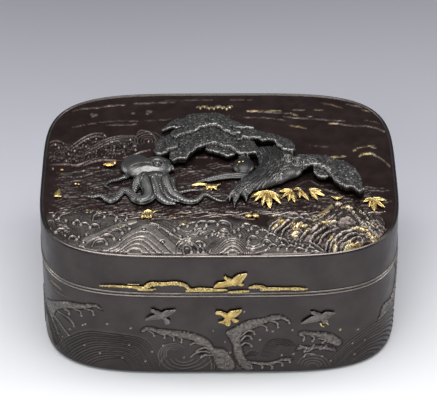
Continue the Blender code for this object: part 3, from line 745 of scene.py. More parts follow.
def octopus():
    """A round mantle behind a head with a heavy brow, and arms that hang close together and curl up."""
    sheet = Sheet(np.arange(-49.0, 4.0, 0.15), np.arange(-23.5, 9.0, 0.15), ("worn", "shade"))
    for route, width, rise in OCTOPUS_ARMS:
        sheet.stroke(spline(route, 0.5), ARM_GROWTH * np.array(width), rise, layer="form", edge=0.8)
    sheet.dome((-28, 1.6), (5.3, 6.1), 4.0, layer="form", edge=1.3)
    sheet.dome((-20.9, 1.5), (5.4, 5), 3.6, layer="form", edge=1.2)
    sheet.stroke(((-27, 0.4), (-21.5, 0.4)), (9, 8.6), (3.7, 3.5), layer="form", edge=1.2)
    sheet.dome((-21.5, -4.6), (4.4, 2.6), 3.0, layer="form", edge=1.1)
    sheet.dome((-16.6, 0.4), (1.6, 1.5), 2.6, layer="form", edge=1.1)
    sheet.smooth_union(3)
    for route, width, rise in OCTOPUS_ARMS:
        path = spline(route, 0.5)
        wide = ARM_GROWTH * np.array(width)
        begin, middle = int(0.06 * len(path)), int(0.34 * len(path))
        # Grooves along both edges of each arm and one inside it, with painted shade in them between the arms
        for share, cut, dark in ((-0.86, 0.3, 0.75), (0.86, 0.3, 0.75), (0.45, 0.1, 0.25)):
            line = beside(path, share, wide)[0]
            sheet.groove(line[begin:], (0.7, 0.8, 0.3), cut, shade=dark)
        # Soft painted highlights along each arm, barely raised
        for share, lit, broad in ((-0.2, 0.65, 0.5), (-0.28, 0.9, 0.22)):
            line = beside(path, share, width)[0]
            sheet.ridge(line[begin:], broad * wide, 0.05, worn=lit, shade=-0.6)
        for share in (0.5, -0.66):
            line = beside(path, share, width)[0]
            for index in range(middle, len(path) - 1, 2):
                sheet.dome(line[index], (0.26, 0.3), 0.16, worn=0.12)
    # The cheek's crescent: a low ridge with a painted highlight, with painted shade in the creases above it
    crescent = spline(
        (
            (-29.4, -3.4), (-27.6, -2.4), (-26, -1.6), (-24.2, -1), (-22.4, -1.5), (-20.5, -2), (-18.6, -1.9),
            (-17, -1.4),
        )
    )
    sheet.ridge(crescent, (0.8, 2.0, 2.2, 1.5, 0.9), (0.06, 0.12, 0.12, 0.06), worn=0.05)
    sheet.stroke(crescent[len(crescent) // 3 :], (0.5, 0.8, 0.5), 0.14, worn=0.2)
    sheet.groove(crescent + (0, 1.7), (0.5, 0.9, 0.8, 0.4), (0.4, 0.5, 0.3), shade=0.7)
    sheet.groove(spline(((-29.4, -1.4), (-27.6, -0.4), (-25.4, -0.2))), (0.4, 0.8, 0.4), 0.4, shade=0.8)
    sheet.ridge(arc((-20.9, 0.6), 2.1, 0, 360, 1.15), 0.7, 0.2, worn=0.3)
    sheet.groove(arc((-20.9, 0.6), 1.4, 0, 360, 1.15), 0.7, 0.4, shade=0.8)
    sheet.dome((-20.9, 0.5), (0.9, 1), 0.5, shade=-0.5)
    sheet.dome((-20.9, 0.5), (0.4, 0.45), 0.7, worn=1.0, shade=-1.0)
    sheet.ridge(spline(((-24.4, 3.6), (-22.4, 4.9), (-20, 4.4), (-18.2, 2.4))), 1.0, 0.2, worn=0.25)
    sheet.dome((-15.9, 0.2), (0.45, 0.5), 0.4, layer="cut", shade=0.9)
    pillow(sheet, "octopus", on_lid, PALE_GREY, "pale_grey_metal", ("octopus",), lift=0.3)
    return sheet


# The pine's wood from above, the routes of its grain with widths, and its thin branch
PINE_OUTLINE = (
    (11.1, 9), (13, 5.9), (13.5, 1.7), (10.9, -2.5), (7, -6.6), (5.1, -9.9), (3.1, -14), (2.1, -17.2),
    (3, -16.4), (3.3, -18.3), (4.3, -16.6), (4.7, -19.6), (4.9, -22.3), (5.6, -19), (7.2, -15.4),
    (8.4, -16.8), (9, -18.6), (9.8, -15), (11.2, -13), (13.2, -12.2), (15.2, -11.2), (17.2, -10.2),
    (18.8, -9.2), (20.7, -8.5), (23.6, -6.1), (26.4, -4.7), (28.4, -2.2), (31.5, 0.2), (34, 1), (34.4, 6),
    (30.2, 6.6), (26.8, 7), (25.6, 6.7), (25, 9), (20, 12.5), (14, 12.5),
)

PINE_WOOD = (
    (((9.6, -12.6), (13.4, -8), (16.4, -3), (18, 4), (16, 12)), (9.6, 10.8, 9.6, 8.2, 8.0)),
    (((15.5, -5), (20, -1), (24, 1.4), (33, 3)), (8.0, 7.6, 6.6, 5.0)),
    (((11, -10), (7.6, -14), (5.6, -18.6), (4.9, -22)), (6.4, 4.6, 2.2, 0.6)),
    (((12.8, -9), (10.6, -13.4), (9.4, -16.4), (9, -18)), (5.8, 4.4, 2.0, 0.6)),
    (((9.6, -8), (6, -11.6), (3.4, -15), (2.6, -17.2)), (5.6, 3.4, 0.7)),
)

PINE_BRANCH = ((9.5, -3.8), (5, -3.4), (0.4, -4), (-3.6, -5.2), (-7.4, -6.3))

# Shelves of needles, from the lowest: the rise, the front line and the back line
PINE_SHELVES = (
    (
        2.4, ((31.7, -2.6), (32.8, -5.1), (33.9, -6.3), (35.6, -6.5), (37.3, -6)),
        ((31.7, 0.4), (33, 1.4), (34.6, 0.6), (36.5, -1.2), (37.3, -4)),
    ),
    (
        2.3, ((-4.4, 10.1), (-1.9, 8.6), (0.4, 7.9), (2.4, 6.6), (3.8, 6.1), (5.8, 7.1)),
        ((-3.6, 13.6), (-1.3, 14.6), (1, 13.6), (3.8, 12), (5.5, 9.6)),
    ),
    (
        3.5,
        (
            (28.6, -2), (30.1, -1.3), (30.7, -0.3), (33, -0.3), (34.9, -1.9), (36.5, -3.4), (37.3, -5.8),
            (38.8, -9.2), (40.6, -11.8), (42.8, -13.6), (44.7, -13.6), (46.8, -16),
        ),
        (
            (26.8, 6.9), (30.2, 6.9), (34.4, 6.1), (38.9, 4.9), (42.7, 2.7), (45.4, -0.5), (47.3, -4.9),
            (48, -9.7), (48.4, -13.2),
        ),
    ),
    (
        3.4,
        (
            (-15.6, 1.9), (-14.9, 2.5), (-13.2, 3.5), (-11.2, 3.7), (-10.4, 5.4), (-9, 7.4), (-7.8, 9.1),
            (-6.4, 10.4), (-4.7, 11.1), (-3, 12.1), (-1.3, 12.6), (0.4, 11.8), (1.8, 10.6), (3.8, 10.3),
            (5.2, 8.8), (6.3, 7.1), (8, 6.3), (10, 6.3), (12.6, 6.8),
        ),
        (
            (-17.2, 5), (-16.6, 10), (-14.4, 17), (-11, 20.4), (-6, 23), (-1.6, 25), (2, 23), (5, 20.6),
            (8, 18.4), (11, 16.8), (13.6, 10.6),
        ),
    ),
    (
        3.4,
        (
            (6.4, 13.8), (7.6, 15.3), (9, 16.2), (10.4, 15.5), (12.4, 15.7), (13.8, 15), (15.2, 13.7),
            (17.5, 14.2), (19.2, 13.4), (20.3, 11.7), (21.7, 9.2), (23.4, 8.4), (25.2, 7.9),
        ),
        (
            (5.4, 20.6), (8.5, 22.8), (12, 22.4), (17.7, 19.6), (20.5, 18.2), (23.3, 16.6), (25.8, 13.1),
            (26.3, 9.6),
        ),
    ),
    (
        3.3,
        ((-21.2, 6.2), (-19.9, 5.8), (-19.4, 5.9), (-18, 6.9), (-17.2, 8.6), (-15.5, 9.4), (-14.2, 10.9)),
        ((-22.3, 9.4), (-21.3, 14.4), (-19, 17.9), (-16.2, 19.4), (-13.3, 20.4)),
    ),
    (
        3.4,
        (
            (-15.3, 16.2), (-13.3, 17.2), (-11.3, 18.3), (-9.3, 19.4), (-7, 21.7), (-4.7, 22.9), (-2.4, 23.7),
            (-0.1, 22.9), (1.6, 20.9), (3.3, 19.3), (4.9, 18.1), (7.4, 18.4),
        ),
        (
            (-17, 19.4), (-15.5, 22.4), (-13.6, 26.5), (-11.1, 30.6), (-7.6, 31.8), (-4.1, 32.4),
            (-1.8, 32.4), (1.1, 31.6), (4, 28.6), (5.7, 27.4), (7.6, 23.3),
        ),
    ),
    (
        3.1, ((5.1, 21.9), (8, 22), (10, 22.1), (12.3, 21.7)),
        ((5.4, 27.9), (8, 25.3), (10.3, 24), (12.4, 23.4)),
    ),
    (
        3.0, ((-19.6, 20.5), (-17.6, 21.9), (-15.6, 22.5), (-13.5, 22.7)),
        ((-19.8, 22.3), (-17.1, 26), (-14.8, 28.5), (-12.5, 29)),
    ),
)


def furrows(sheet, rng, routes):
    """Broken furrows and rubbed ridges of bark, along the wood."""
    for route, width in routes:
        path = spline(route, 0.4)
        for share in np.linspace(-0.9, 0.9, int(1.0 * max(width))):
            line = wander(beside(path, share, width)[0], rng, 0.2)
            begin = rng.integers(0, 8)
            while begin < len(path) - 3:
                finish = min(len(path), begin + rng.integers(6, 20))
                sheet.groove(
                    line[begin:finish], (0.25, 0.6, 0.25), rng.uniform(0.15, 0.35),
                    shade=rng.uniform(0.15, 0.6),
                )
                if rng.uniform() < 0.5:
                    ridge = line[begin:finish] + (0.5, 0.05)
                    sheet.ridge(ridge, (0.2, 0.5, 0.2), 0.25, worn=0.9 * rng.uniform(0, 1) ** 1.8)
                begin = finish + rng.integers(0, 6)


def pine_tree():
    """A leaning trunk with furrowed bark and roots, and pebbled sheets of needles with thin lips of painted
    highlight.
    """
    rng = np.random.default_rng(7)
    sheet = Sheet(np.arange(-25.5, 51.0, 0.18), np.arange(-24.5, 35.5, 0.19), ("worn", "shade", "leafy"))
    sheet.fill(PINE_OUTLINE, 3.2, edge=0.9, shoulder=3.4)
    branch = spline(PINE_BRANCH)
    sheet.stroke(branch, (2.8, 2.8, 3.2, 2.4, 0.8), (2.0, 1.8, 1.6, 1.3, 0.8), layer="form", edge=0.7)
    sheet.dome((8.4, 1.6), (3.9, 4.6), 3.3, layer="form", edge=0.9)
    sheet.smooth_union(3)
    furrows(sheet, rng, PINE_WOOD)
    # Painted highlights along the branch's top and painted shade along its underside
    for shift, lit in ((1, 0.6), (0.3, 0.25)):
        sheet.ridge(wander(branch, rng, 0.15) + (0.0, shift), (0.3, 0.5, 0.1), 0.14, worn=lit)
    for shift in (-0.4, -1.1):
        sheet.groove(wander(branch, rng, 0.15) + (0.0, shift), (0.5, 0.5, 0.1), 0.25, shade=0.6)
    for index in range(3, len(branch) - 3, 2):
        sheet.dome(branch[index] + (0, 0.2), (0.18, 0.5), 0.15, worn=0.3)
    for (x, y), size in (((23.4, 3.6), 1.6), ((26.6, 1.6), 1.9), ((19.6, -6.8), 1.2)):
        for share in (1.0, 0.6, 0.25):
            sheet.ridge(arc((x, y), size * share, 0, 360, 1.3), 0.45, 0.3, worn=rng.uniform(0.15, 0.5))
            sheet.groove(arc((x, y), size * share - 0.35, 0, 360, 1.3), 0.35, 0.3, shade=0.6)
    view = sheet.window(4.4, 12.6, -3.2, 6.4)
    burr = within(
        spline(
            ((4.7, 1.9), (6.2, 5.6), (8.6, 6.4), (12, 3.5), (10.9, -0.7), (8.5, -3), (5.6, -1.7), (4.7, 1.9))
        ),
        sheet.x[view], sheet.y[view],
    )
    sheet.tints["shade"][view] = np.where(burr, 0.45, sheet.tints["shade"][view])
    sheet.tints["worn"][view] *= np.where(burr, 0.25, 1.0)
    lips = []
    for rise, front, back in PINE_SHELVES:
        edge = wander(spline(front, 0.5), rng, 0.34, 2)
        sheet.shelf(edge, wander(spline(back, 0.8), rng, 0.3, 2), rise)
        lips.append(edge)
    leafy = sheet.tints["leafy"]
    for y in np.arange(-18.0, 33.0, 1.15):
        for x in np.arange(-23.0, 50.0, 1.0):
            at = np.array((x, y)) + rng.uniform(-0.35, 0.35, 2)
            row, column = np.searchsorted(sheet.ys, at[1]), np.searchsorted(sheet.xs, at[0])
            if leafy[row, column] > 0.5:
                # Pebbles of needles with painted highlights, stronger on the bough right of x = 24
                size = rng.uniform(0.42, 0.68)
                lit = 0.4 + 0.3 * (x > 24)
                rise = rng.uniform(0.12, 0.3)
                sheet.dome(at, (size, 1.3 * size), rise, power=0.7, worn=rng.uniform(0, 1) ** 2 * lit)
    for edge in lips:
        for _ in range(int(1.3 * len(edge))):
            at = edge[rng.integers(0, len(edge))]
            at = at + (rng.uniform(-0.6, 0.6), 0.5 + abs(rng.normal(0, 1.6)))
            turn = rng.uniform(-0.9, 0.9)
            step = rng.uniform(0.3, 0.7) * np.array((math.cos(turn), 1.2 * math.sin(turn)))
            sheet.ridge((at - step, at + step), 0.3, 0.25, worn=rng.uniform(0.1, 0.5))
        # Thin broken lines of painted highlight along each shelf's front lip, clearing the painted shadow
        # there
        start = 0
        while start < len(edge) - 2:
            end = min(len(edge), start + rng.integers(4, 10))
            lip = edge[start:end] + (0, 0.3)
            sheet.ridge(lip, (0.25, 0.5, 0.25), 0.25, worn=rng.uniform(0.35, 1), shade=-1.0)
            start = end - 1
    # Painted highlights: bright spots on the trunk and its roots
    for x, y in ((7.8, -8), (9, -14), (21, -5.4), (28.6, 0.6)):
        sheet.dome((x, y), (0.4, 0.5), 0.4, worn=1.0)
    for name in ("worn", "shade"):
        sheet.tints[name][:] = sheet.tints[name] * np.where(sheet.cover > -0.2, 1, 0)
    pillow(sheet, "pine_tree", on_lid, DARK_GREY, "dark_grey_metal", ("pine_tree",), tuck=1.4, lift=0.15)
    return sheet


def gold_piece(
    name, parts, nodes=(), domes=(), shapes=(), lines=(), ridges=(), place=on_lid, floor=INLAY_GAP, step=0.14,
    material=GOLD, slot="gold_metal", drop=0.5, sharp=0.6, grains=0.0,
):
    """Leaves, limbs and bodies of gold: strokes with a keel, domes, flat shapes inside closed lines, and
    grooves, ridges and grains on them."""
    places = [part[0] for part in (*parts, *shapes)] + [[dome[0]] for dome in domes]
    points = np.concatenate([np.array(some, float) for some in places])
    low, high = points.min(axis=0) - 3.2, points.max(axis=0) + 3.2
    sheet = Sheet(np.arange(low[0], high[0], step), np.arange(low[1], high[1], step), ("worn", "shade"))
    edge = floor + 0.25

    def keel(u):
        return np.clip(1 - np.abs(u), 0, 1) ** sharp

    for route, width, rise in parts:
        sheet.stroke(spline(route, 0.4), width, rise, keel, "form", edge, drop)
    for centre, radii, rise in domes:
        sheet.dome(centre, radii, rise, layer="form", edge=max(edge, rise - 1.2))
    for ring, rise in shapes:
        sheet.fill(spline([*ring, ring[0]], 0.4), rise, 0.35, edge)
    for route, width, depth in lines:
        sheet.groove(spline(route, 0.4), width, depth, shade=0.7)
    for route, width, height in ridges:
        sheet.ridge(spline(route, 0.4), width, height, worn=0.9)
    if grains:
        rng = np.random.default_rng(17)
        rows, columns = np.nonzero(sheet.cover > 0.05)
        for _ in range(int(grains * len(rows) * step * step)):
            pick = rng.integers(0, len(rows))
            at, size = (sheet.xs[columns[pick]], sheet.ys[rows[pick]]), rng.uniform(0.18, 0.34)
            if rng.uniform() < 0.4:
                sheet.dome(at, (1.2 * size, size), 0.28, layer="cut", shade=0.9)
            else:
                sheet.dome(at, (size, size), 0.25, worn=rng.uniform(0.2, 1), shade=-0.8)
    pillow(sheet, name, place, material, slot, nodes, floor, tuck=0.6)


def bamboo_grass(name, clusters):
    """Long pointed leaves with a midrib that arch down from where they meet."""
    parts, ridges, lines = [], [], []
    for root, height, tips in clusters:
        for x, y, size in tips:
            middle = ((root[0] + x) / 2, (root[1] + y) / 2 + 0.3)
            size *= LEAF_GROWTH
            widths = tuple(share * size for share in (0.3, 0.6, 0.9, 1.0, 0.85, 0.5, 0.06))
            parts.append(((root, middle, (x, y)), widths, (height, 0.85 * height + 0.2, 0.7)))
            ridges.append(((root, middle, (x, y)), (0.3, 0.34, 0.1), 0.16))
            across = np.array((-(y - root[1]), x - root[0])) / math.hypot(x - root[0], y - root[1])
            for side in (-0.28, 0.28):
                vein = []
                for share, wide in ((0.15, 0.6), (0.5, 1), (0.85, 0.5)):
                    spot = np.array(root) * (1 - share) + np.array((x, y)) * share
                    vein.append(spot + (0, 0.3 * math.sin(math.pi * share)) + wide * side * size * across)
                lines.append((vein, (0.2, 0.26, 0.1), 0.16))
    gold_piece(name, parts, (name,), lines=lines, ridges=ridges, drop=0.75, sharp=0.7)


def plover(name, spine, tail, wings, material, slot):
    """A small bird in flight: beak to back, a fan of a tail and two feathered wings."""
    body = (spine, (0.2, 1.3, 2.3, 2.1, 1.5), (0.7, 0.98, 1.04, 0.95))
    lines = []
    for ring in wings:
        root = (np.array(ring[0]) + np.array(ring[-1])) / 2
        for tip, after in zip(ring[2:], ring[3:]):
            for share in (0.25, 0.75):
                end = np.array(tip) * (1 - share) + np.array(after) * share
                lines.append(((root + 0.42 * (end - root), root + 0.97 * (end - root)), (0.16, 0.3), 0.3))
    root = np.array(spine[-1])
    for share in (0.33, 0.67):
        end = np.array(tail[0]) * (1 - share) + np.array(tail[2]) * share
        lines.append(((root + 0.4 * (end - root), end), (0.14, 0.26), 0.3))
    shapes = [(tail, 0.85), *[(ring, 0.95) for ring in wings]]
    head = (spine[1], (0.8, 0.75), 1.0)
    gold_piece(
        name, (body,), (name,), (head,), shapes, lines, place=on_wall, step=0.12, material=material,
        slot=slot,
    )


bamboo_grass(
    "bamboo_grass_left",
    (
        (
            (16, -13.9), 2.4,
            (
                (10.2, -15.8, 2.0), (11.6, -18.0, 1.6), (14.2, -20.4, 1.5), (16.8, -22.0, 2.1),
                (20.6, -19.4, 1.8), (21.0, -16.4, 1.5),
            ),
        ),
    ),
)
bamboo_grass(
    "bamboo_grass_middle",
    (
        (
            (24.2, -12.3), 1.7,
            ((19.6, -12.4, 1.6), (21.0, -15.6, 1.4), (23.0, -17.8, 1.4), (25.2, -18.6, 1.7)),
        ),
        ((27, -11.6), 1.5, ((29.8, -17.2, 1.8), (26.8, -15.8, 1.5), (24.8, -11.0, 1.2))),
        ((30.2, -11.8), 1.5, ((32.8, -17.0, 1.6), (35.4, -14.8, 1.7), (34.6, -12.0, 1.3))),
    ),
)
bamboo_grass(
    "bamboo_grass_right",
    (
        (
            (50.9, -17), 1.5,
            (
                (47.8, -18.2, 1.3), (49.6, -21.4, 1.2), (51.4, -23.4, 1.9), (55.0, -21.6, 1.6),
                (55.8, -17.4, 1.5),
            ),
        ),
    ),
)

octopus_sheet = octopus()
pine_sheet = pine_tree()

gold_piece(
    "gold_leaf", ((((-38.9, 3.7), (-37, 3.9), (-35.2, 4.9)), (0.9, 2.4, 2.4, 0.5), (1.1, 1.3, 0.9)),),
    ("gold_leaf",), (((-35.3, 4.8), (0.55, 0.8), 1.25),),
)
gold_piece(
    "gold_crab_left", ((((-22.7, -24.7), (-21.8, -23.3), (-20.6, -22.8)), (1.1, 0.9, 0.4), (1.1, 0.8)),),
    ("gold_crab_left",),
    shapes=(
        (
            (
                (-26.2, -25.4), (-25.6, -24.4), (-24.9, -23.4), (-23.6, -22.5), (-22.4, -23), (-21.9, -24.4),
                (-22.5, -26.8), (-23.6, -27.2), (-24.6, -26.6), (-25.7, -26.9),
            ),
            1.1,
        ),
    ),
    ridges=(
        (((-25.7, -25.3), (-25.3, -26.4)), (0.5, 0.6), 0.25),
        (((-25.1, -24.5), (-24.4, -26.4)), (0.5, 0.7), 0.25),
        (((-24.1, -24.4), (-23.4, -26.8)), (0.5, 0.8), 0.25),
        (((-22.5, -24.2), (-22.8, -26.2)), (0.6, 0.8), 0.25),
        (((-24.7, -23.7), (-23.6, -23), (-22.7, -23.5)), (0.5, 1.1, 0.5), 0.25),
    ),
    lines=(
        (((-25.4, -24.8), (-24.9, -26.6)), (0.3, 0.4), 0.4),
        (((-24.6, -24.3), (-23.9, -26.8)), (0.3, 0.4), 0.4),
        (((-23.5, -24.4), (-23, -26.4)), (0.3, 0.4), 0.4),
        (((-25, -24.2), (-23.6, -23.9), (-22.4, -24.3)), 0.3, 0.4),
    ),
)
gold_piece(
    "gold_crab_middle",
    (
        (((-8.9, -8.5), (-6.8, -7.7), (-4.3, -7.9)), (0.9, 1.9, 1.8, 0.8), (1.1, 1.2, 0.9)),
        (((-4.6, -8.3), (-3.4, -9.1)), (0.9, 1), 0.9), (((-1.4, -8.8), (0.4, -8.1)), (1.1, 0.5), 1.0),
        (((-3.4, -9.4), (-4.2, -10.8)), (1, 0.6), 1.0), (((-2.6, -9.6), (-2.6, -11.2)), (0.8, 0.4), 0.9),
        (((-1.8, -9.4), (-1, -10.8)), (1, 0.6), 1.0),
    ),
    ("gold_crab_middle",), (((-3.3, -9.2), (1.2, 1.2), 1.25), ((-1.8, -9.2), (1.2, 1.1), 1.2)),
)
gold_piece("gold_beads", (), (), (((9.6, -25.6), (1.1, 1.25), 1.3), ((11.9, -25.6), (1.1, 1.2), 1.25)))
gold_piece(
    "gold_bits",
    (
        (((-54.8, -14.4), (-54, -12.4), (-53.6, -10.8)), (0.8, 2.0, 0.8), (0.9, 1.1)),
        (((-54.4, -14.2), (-52.8, -14.6)), (1, 0.5), 0.9),
    ),
    (), (((-53.2, 0.9), (0.6, 0.6), 0.9), ((-48.2, -7.2), (0.6, 0.4), 0.8), ((-47.2, -7.5), (0.4, 0.4), 0.8)),
)
gold_piece(
    "gold_eyes", (), (),
    (((6.9, 1.7), (0.5, 0.6), 3.35), ((8.1, 1.7), (0.45, 0.55), 3.45), ((6.2, 0.4), (0.25, 0.4), 2.9)),
    floor=2.6,
)
gold_piece(
    "gold_leaf_pair",
    (
        (((37.6, -15), (39.4, -16), (41.2, -15.2)), (0.6, 1.7, 0.5), (0.9, 1.1, 0.9)),
        (((39.4, -15.7), (40.4, -14.6)), (1, 0.3), (1, 0.8)),
    ),
)

gold_piece(
    "gold_shoreline",
    (
        (((-39.3, 36), (-34.3, 36.5), (-29.9, 36.5), (-25.4, 36.4)), (0.4, 0.9, 0.8, 1.1), 0.7),
        (((-30, 37.6), (-26.4, 37.7)), (0.3, 0.4), 0.6),
        (
            (
                (-24.9, 36), (-23.4, 37.4), (-22, 38), (-18.4, 38.1), (-14.6, 38.4), (-11.6, 37.7),
                (-10.3, 36.4), (-8.7, 35.5),
            ),
            (1.3, 1.9, 1.6, 1.4, 1.5, 1.5, 1.3, 0.9), 0.8,
        ),
        (((-26.4, 35.7), (-23.2, 35.6), (-21, 36)), (1.0, 0.9, 0.4), 0.65),
        (((-10.8, 35.3), (-7, 35.7), (-2.7, 35.6), (2.2, 35.6)), (1.0, 1.7, 1.4, 0.8), 0.75),
        (((2.8, 34.7), (6, 34.8), (9.4, 35.1)), (0.7, 1.1, 0.6), 0.7),
        (((9.6, 36.5), (11.5, 36.9), (13.6, 36.7), (15.3, 35.9)), (0.7, 1.3, 1.5, 1.1), 0.75),
        (
            ((13.6, 35.8), (16.9, 35.9), (20.2, 35.9), (23.4, 35.8), (28.4, 35.5)), (1.2, 1.4, 0.9, 1.4, 0.5),
            0.7,
        ),
    ),
    ("gold_shoreline",), place=on_wall, step=0.18, sharp=0.4, grains=5.0,
)
plover(
    "plover_lid", ((0.7, 41.2), (1.4, 40.7), (3, 39.3), (4.9, 38)),
    ((4.6, 38.2), (6.6, 37.2), (7.4, 37.3), (7.9, 38.1), (6, 38.8)),
    (
        ((1.9, 39.6), (0, 38.9), (-1.9, 36.7), (0.6, 36.8), (2.8, 37.2), (4.4, 37.8)),
        ((3.2, 39.4), (4.6, 41.1), (6.1, 42), (8.9, 42.4), (7.9, 40.1), (6.7, 38.3), (5, 38)),
    ),
    GOLD, "gold_metal",
)
plover(
    "plover_middle", ((-0.7, 26.7), (-0.2, 26.3), (1.5, 25.1), (3.3, 23.8)),
    ((3.2, 24), (4.6, 22.2), (5.6, 22.3), (6.3, 23.1), (4.6, 24.2)),
    (
        ((1.4, 24.8), (0.6, 23.6), (-0.2, 22.3), (0.9, 21.5), (3, 20.8), (3.5, 22.8)),
        ((1.9, 25.2), (2.9, 26.8), (4.6, 27.3), (7.2, 27.6), (6.5, 25.9), (5, 24.4), (3.7, 23.8)),
    ),
    GOLD, "gold_metal",
)
plover(
    "plover_left", ((-22.7, 27.8), (-21.9, 27.1), (-20.1, 25.8), (-18.1, 23.9)),
    ((-18.6, 24.2), (-18.1, 21.7), (-17.3, 21.5), (-16.4, 22), (-16.8, 23.7)),
    (
        ((-20.9, 25.7), (-23, 25), (-24.7, 23.2), (-22.6, 23.3), (-20.7, 23.6), (-19.2, 24)),
        ((-19.9, 25.8), (-18.6, 27.1), (-17.2, 27.5), (-14.4, 27.6), (-15.6, 26.2), (-17, 25), (-18.5, 24.1)),
    ),
    BIRD_GREY, "dark_grey_metal",
)
plover(
    "plover_right", ((29.7, 26.2), (30.7, 25.6), (32.6, 24.1), (34, 22.4)),
    ((33.6, 22.8), (33.9, 20.8), (34.8, 20.9), (35.8, 21.4), (34.9, 22.7)),
    (
        ((31.8, 24.6), (29.3, 23.8), (26.6, 21.4), (29.7, 21.6), (32.2, 22), (33.4, 22.6)),
        ((32.6, 24.3), (34.3, 25.5), (35.7, 25.6), (38.1, 24.8), (36.6, 23.7), (35.4, 22.6), (34.1, 22.4)),
    ),
    BIRD_GREY, "dark_grey_metal",
)
gold_piece(
    "gold_feet",
    (
        (((33.2, 20.9), (33.6, 19.9), (34.4, 19.4)), (0.6, 0.4), 0.7),
        (((35.2, 20.9), (35.8, 20.1)), (0.6, 0.4), 0.7),
    ),
    place=on_wall,
)


# The lid, with what is carved in it

# Where the lid's two pieces meet, and the steps of their grids
LID_SEAM, STEP_ACROSS, STEP_IN_FRONT, STEP_BEHIND = -22.9, 0.2272, 0.21, 0.44

# Half the width and depth of the grids, and the inset up to which they are kept
GRID_X, GRID_Y, GRID_INSET = 58.95, 47.0, 1.12

# The last ring of the lid's profile that is hidden on its inside and underside
LAST_INNER_RING = 5


